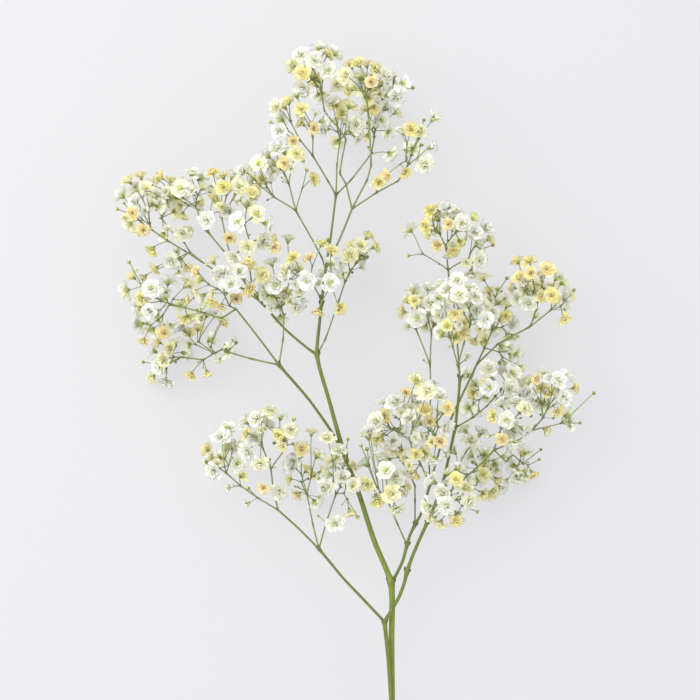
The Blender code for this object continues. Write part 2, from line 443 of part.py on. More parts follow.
def relax(tree, paths):
    # Blooms, twigs and the fused stems are pushed clear of each other, mostly in depth
    now = np.array(tree.place)
    start = now.copy()
    parent = np.array(tree.parent)
    kind = np.array(tree.kind)
    blooms = np.where((kind == "bloom") | (kind == "bud"))[0]
    size = np.where(kind[blooms] == "bud", 1.7, BLOOM_SPACE)
    edges = np.where(parent >= 0)[0]
    fixed = kind == "root"
    ends = []
    widths = []
    for points, radii in paths.values():
        for number in range(len(points) - 1):
            ends.append((points[number], points[number + 1]))
            widths.append(max(radii[number], radii[number + 1]))
    stem_a = np.array([e[0] for e in ends])
    stem_b = np.array([e[1] for e in ends])
    stem_middle = (stem_a + stem_b) / 2.0
    stem_half = np.linalg.norm(stem_b - stem_a, axis=1) / 2.0
    widths = np.array(widths)
    tops = np.isin(edges, blooms)
    weights = np.array((0.55, 0.55, 1.0))
    # Both ends of every two twigs that meet at a fork
    meetings = []
    for fork in np.unique(parent[edges]):
        around = [int(c) for c in edges[parent[edges] == fork]]
        if parent[fork] >= 0:
            around.append(int(parent[fork]))
        for k, one in enumerate(around):
            meetings.extend((int(fork), one, two) for two in around[k + 1:])
    meetings = np.array(meetings)
    twigs = edges[parent[parent[edges]] >= 0]
    hubs = parent[twigs]
    lowest = np.full(len(kind), 1.2)
    lowest[kind == "bloom"] = LOWEST_BLOOM
    for turn in range(RELAX_ROUNDS):
        p0 = now[parent[edges]]
        p1 = now[edges]
        if turn % PAIRS_EVERY == 0:
            middle = (p0 + p1) / 2.0
            half = np.linalg.norm(p1 - p0, axis=1) / 2.0
            none = np.zeros(len(blooms))
            bi, bj = near_pairs(now[blooms], none, now[blooms], none, 2.0 * BLOOM_SPACE + PAIR_REACH)
            bi, bj = bi[bi < bj], bj[bi < bj]
            bk, be = near_pairs(now[blooms], none, middle, half, BLOOM_SPACE + PAIR_REACH)
            other = blooms[bk] != edges[be]
            bk, be = bk[other], be[other]
            ei, ej = near_pairs(middle, half, middle, half, PAIR_REACH)
            apart = (ei < ej) & (parent[edges[ei]] != parent[edges[ej]])
            apart &= (edges[ei] != parent[edges[ej]]) & (parent[edges[ei]] != edges[ej])
            ei, ej = ei[apart], ej[apart]
            ek, es = near_pairs(middle, half, stem_middle, stem_half, PAIR_REACH)
        move = np.zeros_like(now)
        whole = np.ones(len(bi))
        gap = now[blooms[bi]] - now[blooms[bj]]
        lack = size[bi] + size[bj] + TWIG_GAP - np.linalg.norm(gap, axis=1)
        push_apart(move, gap, lack, 0.5, (blooms[bi], blooms[bi], whole), (blooms[bj], blooms[bj], whole))
        # A bloom against other twigs, those that end in a bloom only up to its base
        along = p1[be] - p0[be]
        length = np.einsum("ij,ij->i", along, along) + 1e-9
        relative = now[blooms[bk]] - p0[be]
        share = np.clip(np.einsum("ij,ij->i", relative, along) / length, 0.0, 1.0)
        share = np.where(tops[be], np.minimum(share, 0.75), share)
        gap = relative - share[:, None] * along
        lack = size[bk] + PEDICEL_RADIUS + TWIG_GAP - np.linalg.norm(gap, axis=1)
        whole = np.ones(len(bk))
        sibling = parent[blooms[bk]] == parent[edges[be]]
        lack = np.where(sibling & (share < 0.35), 0.0, lack)
        push_apart(move, gap, lack, 0.4, (blooms[bk], blooms[bk], whole), (parent[edges[be]], edges[be], share))
        # Twigs against twigs
        s, t = closest_on_segments(p0[ei], p1[ei], p0[ej], p1[ej])
        gap = p0[ei] + s[:, None] * (p1[ei] - p0[ei]) - p0[ej] - t[:, None] * (p1[ej] - p0[ej])
        lack = 2.0 * TWIG_RADIUS + 2.0 * TWIG_GAP - np.linalg.norm(gap, axis=1)
        push_apart(move, gap, lack, 0.5, (parent[edges[ei]], edges[ei], s), (parent[edges[ej]], edges[ej], t))
        # Twigs and blooms against the fused stems, a short way from a root left out
        s, t = closest_on_segments(p0[ek], p1[ek], stem_a[es], stem_b[es])
        s = np.where(fixed[parent[edges[ek]]], np.maximum(s, 0.4), s)
        gap = p0[ek] + s[:, None] * (p1[ek] - p0[ek]) - stem_a[es] - t[:, None] * (stem_b[es] - stem_a[es])
        head = np.where(tops[ek] & (s > 0.7), BLOOM_SPACE, TWIG_RADIUS)
        lack = widths[es] * 1.3 + head + TWIG_GAP - np.linalg.norm(gap, axis=1)
        push_apart(move, gap, lack, 0.6, (parent[edges[ek]], edges[ek], s))
        # Twigs of one fork stand apart, and a bloom's stalk is long enough to bend
        hub, one, two = meetings.T
        u = now[one] - now[hub]
        v = now[two] - now[hub]
        lu = np.linalg.norm(u, axis=1) + 1e-6
        lv = np.linalg.norm(v, axis=1) + 1e-6
        reach = np.minimum(np.minimum(lu, lv), FORK_REACH)
        gap = u * (reach / lu)[:, None] - v * (reach / lv)[:, None]
        lack = np.clip(FORK_SPREAD * reach - np.linalg.norm(gap, axis=1), 0.0, 1.0)
        whole = np.ones(len(hub))
        push_apart(move, gap, lack, 0.6, (one, one, whole), (two, two, whole))
        gap = now[edges] - now[parent[edges]]
        lack = np.where(kind[edges] == "bloom", STALK_LEAST, TWIG_LEAST) - np.linalg.norm(gap, axis=1)
        whole = np.ones(len(edges))
        push_apart(move, gap, lack, 0.5, (edges, edges, whole), (parent[edges], parent[edges], whole))
        # A twig goes on roughly the way the one before it came, and doesn't fold back
        into = now[hubs] - now[parent[hubs]]
        onward = now[twigs] - now[hubs]
        li = np.linalg.norm(into, axis=1) + 1e-6
        lo = np.linalg.norm(onward, axis=1) + 1e-6
        ahead = np.einsum("ij,ij->i", into, onward) / (li * lo)
        lack = np.clip(TURN_LEAST - ahead, 0.0, 1.0)
        aim = onward / lo[:, None] + into / li[:, None] * lack[:, None]
        aim = aim / np.maximum(np.linalg.norm(aim, axis=1), 1e-6)[:, None]
        push = (aim * lo[:, None] - onward) * TURN_SHARE
        np.add.at(move, twigs, push)
        np.add.at(move, hubs, -0.5 * push)
        length = np.linalg.norm(move, axis=1)
        limit = np.minimum(1.0, 1.6 / np.maximum(length, 1e-6))
        move = move * limit[:, None] * weights
        if turn < RELAX_ROUNDS * 0.7:
            move = move + (start - now) * np.array((0.03, 0.03, 0.004))
        now = now + np.where(fixed[:, None], 0.0, move)
        now[:, 2] = np.where(fixed, now[:, 2], np.maximum(now[:, 2], lowest))
    tree.place = list(now)


def bloom_facings(tree):
    # A bloom faces along its stalk, turned towards the outside of the head and a little upwards
    facing = {}
    places = np.array(tree.place)
    middles = {}
    for name in SPRAYS:
        members = [i for i in range(len(tree.place)) if tree.spray[i] == name and tree.kind[i] == "bloom"]
        middles[name] = places[members].mean(axis=0)
    for i, kind in enumerate(tree.kind):
        if kind not in ("bloom", "bud"):
            continue
        stalk = unit(places[i] - places[tree.parent[i]])
        outward = unit(places[i] - middles[tree.spray[i]] + np.array((0.0, -6.0, 0.0)))
        mixed = stalk + 0.55 * outward + np.array((0.0, 0.0, 0.35))
        if places[i][2] < 9.0:
            mixed[2] = max(mixed[2], 0.0)
        if kind == "bud":
            mixed = stalk
        mixed = unit(mixed)
        while float(mixed @ stalk) < 0.62:
            mixed = unit(mixed + 0.15 * stalk)
        facing[i] = mixed
        if kind == "bloom" and places[i][2] < FOOT_HEIGHT:
            # The lowest blooms are set down so that their petals just touch the surface
            tilt = math.sqrt(max(0.0, 1.0 - mixed[2] * mixed[2]))
            places[i][2] = BLOOM_RADIUS * 0.95 * tilt + 0.2 * mixed[2]
            tree.place[i] = places[i]
    return facing


def frame_across(axis, hint):
    side = hint - axis * float(hint @ axis)
    if np.linalg.norm(side) < 1e-6:
        side = np.array((axis[1], axis[2], axis[0])) - axis * float(np.array((axis[1], axis[2], axis[0])) @ axis)
    side = unit(side)
    return side, np.cross(axis, side)


def ring_after(mesh, before, centre, axis, radius):
    # Three points round the axis, turned to follow the three before them
    old = [np.array(v.co) for v in before]
    middle = sum(old) / 3.0
    side, up = frame_across(axis, old[0] - middle)
    total = 0.0
    for number, point in enumerate(old):
        offset = point - middle
        angle = math.atan2(float(offset @ up), float(offset @ side)) - number * 2.0 * math.pi / 3.0
        angle = (angle + math.pi) % (2.0 * math.pi) - math.pi
        total += angle
    turn = total / 3.0
    ring = []
    for number in range(3):
        angle = turn + number * 2.0 * math.pi / 3.0
        point = centre + radius * (math.cos(angle) * side + math.sin(angle) * up)
        ring.append(mesh.verts.new(point))
    return ring


def bridge(mesh, first, second):
    for number in range(3):
        following = (number + 1) % 3
        mesh.faces.new((first[number], first[following], second[following]))
        mesh.faces.new((first[number], second[following], second[number]))


def add_bloom(mesh, ring, centre, axis, radius, seed):
    # Five ruffled outer petals cut by notches round an eye, with a second tier on the upper blooms
    rng = random.Random(seed)
    old = np.array(ring[0].co) - sum(np.array(v.co) for v in ring) / 3.0
    side, up = frame_across(axis, old)
    outer = []
    for number in range(10):
        angle = number * math.pi / 5.0 + rng.uniform(-0.07, 0.07)
        tip = number % 2 == 0
        reach = radius * (rng.uniform(0.93, 1.0) if tip else rng.uniform(0.66, 0.74))
        rise = rng.uniform(-0.3, 0.9) if tip else rng.uniform(-0.9, -0.3)
        point = centre + reach * (math.cos(angle) * side + math.sin(angle) * up) + axis * rise
        outer.append(mesh.verts.new(point))
    starts = (0, 3, 7)
    for number in range(3):
        following = (number + 1) % 3
        low = starts[number]
        high = starts[following] if following else 10
        for step in range(low, high):
            mesh.faces.new((ring[number], outer[step % 10], outer[(step + 1) % 10]))
        mesh.faces.new((ring[number], outer[high % 10], ring[following]))
    if centre[2] < TWO_TIER_HEIGHT:
        eye = mesh.verts.new(centre + axis * 1.5)
        for number in range(10):
            mesh.faces.new((outer[number], eye, outer[(number + 1) % 10]))
        return
    inner = []
    for number in range(5):
        angle = (2 * number + 1) * math.pi / 5.0 + rng.uniform(-0.1, 0.1)
        reach = BLOOM_INNER * radius / BLOOM_RADIUS * rng.uniform(0.9, 1.1)
        point = centre + reach * (math.cos(angle) * side + math.sin(angle) * up)
        inner.append(mesh.verts.new(point + axis * rng.uniform(1.5, 2.1)))
    eye = mesh.verts.new(centre + axis * 1.0)
    for number in range(5):
        tip = outer[2 * number]
        notch = outer[2 * number + 1]
        after = outer[(2 * number + 2) % 10]
        mesh.faces.new((tip, inner[number], notch))
        mesh.faces.new((notch, inner[number], after))
        mesh.faces.new((after, inner[number], inner[(number + 1) % 5]))
        mesh.faces.new((inner[number], eye, inner[(number + 1) % 5]))


def add_bud(mesh, ring, centre, axis):
    belly = ring_after(mesh, ring, centre, axis, BUD_RADIUS)
    bridge(mesh, ring, belly)
    tip = mesh.verts.new(centre + axis * BUD_RADIUS * 1.35)
    for number in range(3):
        mesh.faces.new((belly[number], belly[(number + 1) % 3], tip))


def fork_order(axis, ring_points, directions):
    # Which of the three faces over a fork each twig leaves by
    middle = sum(ring_points) / 3.0
    sides = []
    for number in range(3):
        edge = (ring_points[number] + ring_points[(number + 1) % 3]) / 2.0 - middle
        sides.append(unit(edge))
    best = None
    options = [(0, 1, 2), (0, 2, 1), (1, 0, 2), (1, 2, 0), (2, 0, 1), (2, 1, 0)]
    for option in options:
        score = sum(float(direction @ sides[option[n]]) for n, direction in enumerate(directions))
        if best is None or score > best[0]:
            best = (score, option)
    return best[1]


def spread_turn(axis, side, up, directions):
    # Turn of a fork's ring so that its faces point at the twigs
    best = (-9.0, 0.0)
    options = [(0, 1, 2), (0, 2, 1), (1, 0, 2), (1, 2, 0), (2, 0, 1), (2, 1, 0)]
    for step in range(24):
        turn = step * math.pi / 36.0
        faces = []
        for number in range(3):
            angle = turn + (number * 2.0 + 1.0) * math.pi / 3.0
            faces.append(math.cos(angle) * side + math.sin(angle) * up)
        for option in options:
            score = sum(float(d @ faces[option[n]]) for n, d in enumerate(directions))
            if score > best[0]:
                best = (score, turn)
    return best[1]


def twig_radius(tree, node, leaves):
    return min(0.62, PEDICEL_RADIUS + 0.035 * math.sqrt(max(leaves[node] - 1, 0)))


def grow_mesh(mesh, tree, node, ring, incoming, children, leaves, facing):
    # The ring before this point is joined to it, and its twigs are grown from the faces over it
    place_here = np.array(tree.place[node])
    kind = tree.kind[node]
    if kind in ("bloom", "bud"):
        axis = facing[node]
        radius = PEDICEL_RADIUS
        if kind == "bud":
            neck = ring_after(mesh, ring, place_here - axis * 1.3, axis, 0.34)
            bridge(mesh, ring, neck)
            add_bud(mesh, neck, place_here, axis)
            return
        neck = ring_after(mesh, ring, place_here - axis * BLOOM_DEPTH, unit(axis + incoming), radius * 1.35)
        bridge(mesh, ring, neck)
        add_bloom(mesh, neck, place_here, axis, BLOOM_RADIUS, node * 7 + SEED)
        return
    twigs = children[node]
    aims = [unit(aim_point(tree, child, facing) - place_here) for child in twigs]
    radius = twig_radius(tree, node, leaves) * 1.25
    if len(twigs) == 1:
        onward = unit(incoming + aims[0])
        here = ring_after(mesh, ring, place_here, onward, radius / 1.25)
        bridge(mesh, ring, here)
        grow_mesh(mesh, tree, twigs[0], here, aims[0], children, leaves, facing)
        return
    mean = unit(sum(aims))
    onward = unit(incoming + 0.8 * mean)
    if float(incoming @ mean) < 0.2:
        onward = unit(incoming * 0.7 + mean)
    side, up = frame_across(onward, np.array(ring[0].co) - sum(np.array(v.co) for v in ring) / 3.0)
    turn = spread_turn(onward, side, up, aims)
    old = [np.array(v.co) for v in ring]
    middle = sum(old) / 3.0
    best = None
    for shift in range(3):
        total = 0.0
        for number in range(3):
            angle = turn + (number + shift) * 2.0 * math.pi / 3.0
            point = math.cos(angle) * side + math.sin(angle) * up
            total += float(point @ unit(old[number] - middle))
        if best is None or total > best[0]:
            best = (total, shift)
    here = []
    for number in range(3):
        angle = turn + (number + best[1]) * 2.0 * math.pi / 3.0
        here.append(mesh.verts.new(place_here + radius * (math.cos(angle) * side + math.sin(angle) * up)))
    bridge(mesh, ring, here)
    ring_points = [np.array(v.co) for v in here]
    lean = unit(onward + 0.6 * mean)
    apex = mesh.verts.new(place_here + lean * radius * 1.1)
    order = fork_order(onward, ring_points, aims)
    used = set()
    for number, child in enumerate(twigs):
        face = order[number]
        used.add(face)
        triangle = (here[face], here[(face + 1) % 3], apex)
        points = [np.array(v.co) for v in triangle]
        normal = unit(np.cross(points[1] - points[0], points[2] - points[0]))
        aim = aims[number]
        start_ring = list(triangle)
        if float(normal @ aim) < 0.45:
            bent = unit(normal + aim)
            centre = sum(points) / 3.0 + bent * radius * 1.6
            collar = ring_after(mesh, start_ring, centre, bent, radius * 0.75)
            bridge(mesh, start_ring, collar)
            start_ring = collar
        grow_mesh(mesh, tree, child, start_ring, aim, children, leaves, facing)
    for face in range(3):
        if face not in used:
            mesh.faces.new((here[face], here[(face + 1) % 3], apex))


def aim_point(tree, child, facing):
    if tree.kind[child] == "bloom":
        return np.array(tree.place[child]) - facing[child] * BLOOM_DEPTH
    return np.array(tree.place[child])


def joint_rivals(paths, sprays):
    # Every stem and spray that leaves a joint: place, direction, radius and a name for it
    rivals = []
    for name, (points, radii) in paths.items():
        for k, point in enumerate(points):
            for n in (k - 1, k + 1):
                if 0 <= n < len(points):
                    rivals.append((point, unit(points[n] - point), max(radii[k], radii[n]), (name, k, n)))
    for name, (here, aim, radius) in sprays.items():
        rivals.append((here, aim, radius, name))
    return rivals


def clear_reach(rivals, here, aim, radius, name, least):
    # How far along its direction a stem has parted from the others of its joint
    reach = least
    for place_there, other_aim, width, other in rivals:
        if other == name or np.linalg.norm(place_there - here) > 0.01:
            continue
        angle = math.acos(max(-1.0, min(1.0, float(aim @ other_aim))))
        apart = (width + radius + STUB_CLEAR) / max(2.0 * math.sin(angle / 2.0), 0.12)
        reach = max(reach, min(apart, 9.0))
    return reach


def spray_starts(tree, children, leaves, facing):
    starts = {}
    for i, kind in enumerate(tree.kind):
        if kind == "root":
            child = children[i][0]
            aim = unit(aim_point(tree, child, facing) - tree.place[i])
            starts[tree.spray[i]] = (i, child, aim, twig_radius(tree, child, leaves))
    return starts


def spray_mesh(tree, start, reach, children, leaves, facing):
    mesh = bmesh.new()
    root, child, aim, radius = start
    side, up = frame_across(aim, np.array((0.0, 0.0, 1.0)))
    centre = tree.place[root] + aim * (reach + ROOT_GAP)
    ring = []
    for number in range(3):
        angle = number * 2.0 * math.pi / 3.0
        ring.append(mesh.verts.new(centre + radius * (math.cos(angle) * side + math.sin(angle) * up)))
    mesh.faces.new((ring[2], ring[1], ring[0]))
    grow_mesh(mesh, tree, child, ring, aim, children, leaves, facing)
    return mesh


def finish_mesh(mesh, name, colour, roughness):
    bmesh.ops.recalc_face_normals(mesh, faces=mesh.faces[:])
    for vertex in mesh.verts:
        if vertex.co.z < FLOOR_BAND:
            vertex.co.z = 0.0
        vertex.co *= 0.001
    data = bpy.data.meshes.new(name)
    mesh.to_mesh(data)
    mesh.free()
    node = bpy.data.objects.new(name, data)
    bpy.context.scene.collection.objects.link(node)
    material = bpy.data.materials.new("mat_" + name)
    material.use_nodes = True
    shader = material.node_tree.nodes["Principled BSDF"]
    shader.inputs["Base Color"].default_value = (*colour, 1.0)
    shader.inputs["Roughness"].default_value = roughness
    data.materials.append(material)
    return node


def round_ring(mesh, centre, axis, radius, count, hint):
    side, up = frame_across(axis, hint)
    ring = []
    for number in range(count):
        angle = number * 2.0 * math.pi / count
        ring.append(mesh.verts.new(centre + radius * (math.cos(angle) * side + math.sin(angle) * up)))
    return ring, side


def zip_rings(mesh, low, high):
    # Triangles between two closed rings that may differ in their number of points
    low_middle = sum(np.array(v.co) for v in low) / len(low)
    high_middle = sum(np.array(v.co) for v in high) / len(high)
    first = unit(np.array(low[0].co) - low_middle)
    fits = [float(first @ unit(np.array(v.co) - high_middle)) for v in high]
    start = int(np.argmax(fits))
    high = high[start:] + high[:start]
    i = j = 0
    while i < len(low) or j < len(high):
        next_low = (i + 1) / len(low)
        next_high = (j + 1) / len(high)
        if j >= len(high) or (i < len(low) and next_low <= next_high):
            mesh.faces.new((low[i % len(low)], low[(i + 1) % len(low)], high[j % len(high)]))
            i += 1
        else:
            mesh.faces.new((low[i % len(low)], high[(j + 1) % len(high)], high[j % len(high)]))
            j += 1


def panel_side(panel):
    points = [np.array(v.co) for v in panel]
    middle = sum(points) / 4.0
    return middle, unit(np.cross(points[2] - points[0], points[3] - points[1]))


def grow_stem(mesh, name, start, paths, leaving, starts, tree, rivals, reaches):
    # A stem's rings are joined in turn. At a joint, side panels or the end are left to what grows there.
    points, radii = paths[name]
    points = [np.array(p) for p in points]
    count = 6 if max(radii) > 1.15 else 5 if max(radii) > 0.7 else 4
    stations = []
    swelling = {number: swell for stem, number, swell in JOINTS if stem == name}
    last = len(points) - 1
    for k, point in enumerate(points):
        if k == 0 and start is not None:
            continue
        axis = unit(unit(points[min(k + 1, last)] - point) + unit(point - points[max(k - 1, 0)]) + 1e-9)
        if k in (0, last):
            axis = unit(points[min(k + 1, last)] - points[max(k - 1, 0)])
        here = leaving.get((name, k), [])
        radius = radii[k] * swelling.get(k, 1.0)
        if here or k in swelling:
            widest = max([item[3] for item in here] + [0.5])
            half = 0.85 * widest + 0.25
            low = -2.0 * half if k == last else -half
            high = 0.0 if k == last else half
            stations.append((point + axis * low, axis, radius, None))
            stations.append((point + axis * high, axis, radius, k))
        else:
            stations.append((point, axis, radius, None))
    hint = np.array((1.0, 0.0, 0.0))
    before = None
    if start is None:
        before, hint = round_ring(mesh, *stations[0][:3], count, hint)
        mesh.faces.new(list(reversed(before)))
        stations = stations[1:]
    else:
        before = start
        aim = unit(points[1] - points[0])
        reach = clear_reach(rivals, points[0], aim, radii[1], (name, 0, 1), radii[0] + 1.0)
        reach = min(reach, 0.75 * np.linalg.norm(points[1] - points[0]))
        stations.insert(0, (points[0] + aim * reach, aim, radii[0], None))
        hint = np.array(start[0].co) - sum(np.array(v.co) for v in start) / len(start)
    for centre, axis, radius, joint in stations:
        ring, hint = round_ring(mesh, centre, axis, radius, count, hint)
        if joint is None:
            zip_rings(mesh, before, ring)
            before = ring
            continue
        items = sorted(leaving.get((name, joint), []), key=lambda item: -float(item[2] @ axis))
        cap_item = None
        if joint == last and items:
            cap_item = items.pop(0)
        panels = []
        for number in range(count):
            following = (number + 1) % count
            panels.append((before[number], before[following], ring[following], ring[number]))
        free = list(range(count))
        used = []
        for item in items:
            sides = [panel_side(panels[number])[1] for number in free]
            best = max(range(len(free)), key=lambda n: float(sides[n] @ item[2]))
            used.append((free.pop(best), item))
        scales = []
        if joint in swelling:
            order = sorted(free, key=lambda n: float(panel_side(panels[n])[1] @ SCALE_SIDE))
            scales = [order[-1]] if len(free) < 4 else [order[-1], order[0]]
        for number in free:
            if number in scales:
                middle, side = panel_side(panels[number])
                tip = mesh.verts.new(middle + side * 0.95 + axis * (radius + 1.7))
                for n in range(4):
                    mesh.faces.new((panels[number][n], panels[number][(n + 1) % 4], tip))
            else:
                mesh.faces.new(panels[number])
        for number, item in used:
            leave(mesh, list(panels[number]), item, paths, leaving, starts, tree, rivals, reaches)
        if joint == last:
            if cap_item is None:
                mesh.faces.new(ring)
            else:
                leave(mesh, ring, cap_item, paths, leaving, starts, tree, rivals, reaches)
            return
        before = ring
    mesh.faces.new(before)


def leave(mesh, base, item, paths, leaving, starts, tree, rivals, reaches):
    kind, name, aim, radius = item
    if kind == "stem":
        grow_stem(mesh, name, base, paths, leaving, starts, tree, rivals, reaches)
        return
    here = tree.place[starts[name][0]]
    hint = np.array(base[0].co) - sum(np.array(v.co) for v in base) / len(base)
    ring, _ = round_ring(mesh, here + aim * reaches[name], aim, radius * 1.1, 4, hint)
    zip_rings(mesh, base, ring)
    mesh.faces.new(ring)


def fused_stems(paths, starts, tree):
    sprays = {name: (tree.place[start[0]], start[2], start[3]) for name, start in starts.items()}
    rivals = joint_rivals(paths, sprays)
    reaches = {}
    leaving = {}
    for name, (here, aim, radius) in sprays.items():
        stem, number = SPRAYS[name][0]
        swelling = max([s for n, k, s in JOINTS if n == stem and k == number] + [1.0])
        least = paths[stem][1][number] * swelling + 1.2
        reaches[name] = clear_reach(rivals, here, aim, radius, name, least)
        leaving.setdefault((stem, number), []).append(("spray", name, aim, radius))
    for name, (stem, number) in STEM_ROOTS.items():
        points, radii = paths[name]
        leaving.setdefault((stem, number), []).append(("stem", name, unit(points[1] - points[0]), radii[0]))
    mesh = bmesh.new()
    grow_stem(mesh, "main", None, paths, leaving, starts, tree, rivals, reaches)
    bmesh.ops.triangulate(mesh, faces=mesh.faces[:])
    return mesh, reaches


def settle(nodes):
    # The middle of the box's bottom face goes to the origin
    lows = []
    highs = []
    for node in nodes:
        points = np.array([v.co for v in node.data.vertices])
        lows.append(points.min(axis=0))
        highs.append(points.max(axis=0))
    low = np.min(lows, axis=0)
    high = np.max(highs, axis=0)
    shift = Vector(((low[0] + high[0]) / 2.0, (low[1] + high[1]) / 2.0, low[2]))
    for node in nodes:
        for vertex in node.data.vertices:
            vertex.co -= shift
    return shift, high - low


def main():
    for item in list(bpy.data.objects):
        bpy.data.objects.remove(item)
    paths = stem_paths()
    tree = layout(paths)
    relax(tree, paths)
    facing = bloom_facings(tree)
    children = {i: [] for i in range(len(tree.place))}
    for i, parent in enumerate(tree.parent):
        if parent >= 0:
            children[parent].append(i)
    leaves = [0] * len(tree.place)
    for i in reversed(range(len(tree.place))):
        if tree.kind[i] in ("bloom", "bud"):
            leaves[i] = 1
        if tree.parent[i] >= 0:
            leaves[tree.parent[i]] += leaves[i]
    starts = spray_starts(tree, children, leaves, facing)
    body, reaches = fused_stems(paths, starts, tree)
    nodes = [finish_mesh(body, "stem", (0.19, 0.27, 0.07), 0.55)]
    tints = {W: (0.82, 0.84, 0.74), C: (0.86, 0.82, 0.62), Y: (0.87, 0.80, 0.42), A: (0.88, 0.70, 0.38)}
    for name in SPRAYS:
        mesh = spray_mesh(tree, starts[name], reaches[name], children, leaves, facing)
        colours = [tree.colour[i] for i in range(len(tree.place)) if tree.spray[i] == name and tree.colour[i] in tints]
        tint = np.mean([tints[c] for c in colours], axis=0)
        nodes.append(finish_mesh(mesh, name, tuple(float(t) for t in tint), 0.8))
    shift, size = settle(nodes)
    counts = [sum(len(p.vertices) - 2 for p in node.data.polygons) for node in nodes]
    print("blooms", tree.kind.count("bloom"), "buds", tree.kind.count("bud"), "triangles", sum(counts), max(counts))
    print("shift", [round(1000 * s, 3) for s in shift], "size", [round(1000 * s, 2) for s in size])


main()
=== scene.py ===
# The look of a cut gypsophila stem lying on a pale surface: its green stems, twigs and double blooms.
# The layout of stems, twigs and blooms follows the same rules and numbers as the solids, in millimetres.
import json
import math
import random

import bmesh
import bpy
import numpy as np
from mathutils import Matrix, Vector

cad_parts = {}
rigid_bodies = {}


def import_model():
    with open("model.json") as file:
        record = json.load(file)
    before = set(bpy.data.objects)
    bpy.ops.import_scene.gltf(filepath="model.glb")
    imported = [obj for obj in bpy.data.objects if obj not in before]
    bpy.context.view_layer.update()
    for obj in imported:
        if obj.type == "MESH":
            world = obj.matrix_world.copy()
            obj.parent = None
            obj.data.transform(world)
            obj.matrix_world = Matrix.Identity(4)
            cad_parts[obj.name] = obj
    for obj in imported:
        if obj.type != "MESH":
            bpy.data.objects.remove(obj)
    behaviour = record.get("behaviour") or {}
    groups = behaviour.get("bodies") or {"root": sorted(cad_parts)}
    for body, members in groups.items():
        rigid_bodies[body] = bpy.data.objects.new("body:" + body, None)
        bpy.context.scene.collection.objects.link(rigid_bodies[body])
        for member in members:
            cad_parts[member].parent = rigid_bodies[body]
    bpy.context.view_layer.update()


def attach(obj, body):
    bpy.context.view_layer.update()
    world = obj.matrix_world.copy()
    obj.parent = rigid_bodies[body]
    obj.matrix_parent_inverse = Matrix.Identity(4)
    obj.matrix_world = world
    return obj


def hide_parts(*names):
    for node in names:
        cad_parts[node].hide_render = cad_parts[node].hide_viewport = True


# The photo's camera: its height and the height where the scale holds, in millimetres, and the middle pixel
MM_PER_PIXEL = 0.6
VIEW_HEIGHT = 1226.7
VIEW_PLANE = 60.0
VIEW_MIDDLE = 350.0
# Blooms, buds and twigs, in millimetres, with the room that each needs round its middle
BLOOM_RADIUS = 4.7
BLOOM_DEPTH = 2.9
BLOOM_SPACE = 4.9
BUD_RADIUS = 1.15
BUD_SPACE = 1.7
TWIG_RADIUS = 0.45
PEDICEL_RADIUS = 0.42
TWIG_GAP = 0.45
# Heights of blooms and twigs above the surface, in millimetres
LOWEST_BLOOM = 5.0
LOWEST_TWIG = 1.2
FOOT_HEIGHT = 8.5
LEVEL_HEIGHT = 9.0
HIGHEST_BLOOM = 124.0
# How blooms are spread in depth, and how the hidden ones are drawn
SEED = 41
DOME_FALL = 0.75
GOLDEN_SHARE = 0.618034
DEPTH_JITTER = 0.12
HIDDEN_SHARE = 0.2
HIDDEN_BETWEEN = (0.3, 0.7)
HIDDEN_DRIFT = 3
HIDDEN_BELOW = 0.7
HIDDEN_DEPTH = (0.5, 1.05)
# Where forks stand on the way to their blooms, and what a fork costs a bloom
FORK_SHARE = 0.52
NEAREST_SHARE = 0.62
SIDE_COST = 1.35
AHEAD_GAIN = 0.5
BUSY_COST = 9.0
# The relaxing step: rounds, reach of its pairs, least lengths, and how far points move in X, Y and Z
RELAX_ROUNDS = 420
PAIRS_EVERY = 12
PAIR_REACH = 9.0
STALK_LEAST = 8.2
TWIG_LEAST = 4.6
TURN_LEAST = 0.45
TURN_SHARE = 0.25
FORK_SPREAD = 0.5
FORK_REACH = 6.0
LONGEST_MOVE = 1.6
MOVE_WEIGHTS = np.array((0.55, 0.55, 1.0))
PULL_BACK = np.array((0.03, 0.03, 0.004))
# What turns a bloom away from its stalk
OUTSIDE = np.array((0.0, -6.0, 0.0))
OUTWARD_SHARE = 0.55
UPWARD = np.array((0.0, 0.0, 0.35))
LEAST_ALONG_STALK = 0.62
# Side on which the dry scales of a joint show
SCALE_SIDE = np.array((0.8, 0.0, 0.6))
# Lengths too short to divide by
NEAR_ZERO = 1e-6
TINY = 1e-9

# Height of the main stem above the surface at rows of the photo
AXIS_ROWS = (-100.0, 195.0, 355.0, 459.0, 582.0, 700.0, 915.0)
AXIS_HEIGHTS = (58.0, 58.0, 56.0, 51.0, 38.0, 24.5, 1.9)

# Petal colours of the blooms: white, cream, lemon, apricot
W, C, Y, A = "white", "cream", "lemon", "apricot"
# A closed bud
B = "bud"
HIDDEN_COLOURS = (W, W, W, C, C, Y, A)

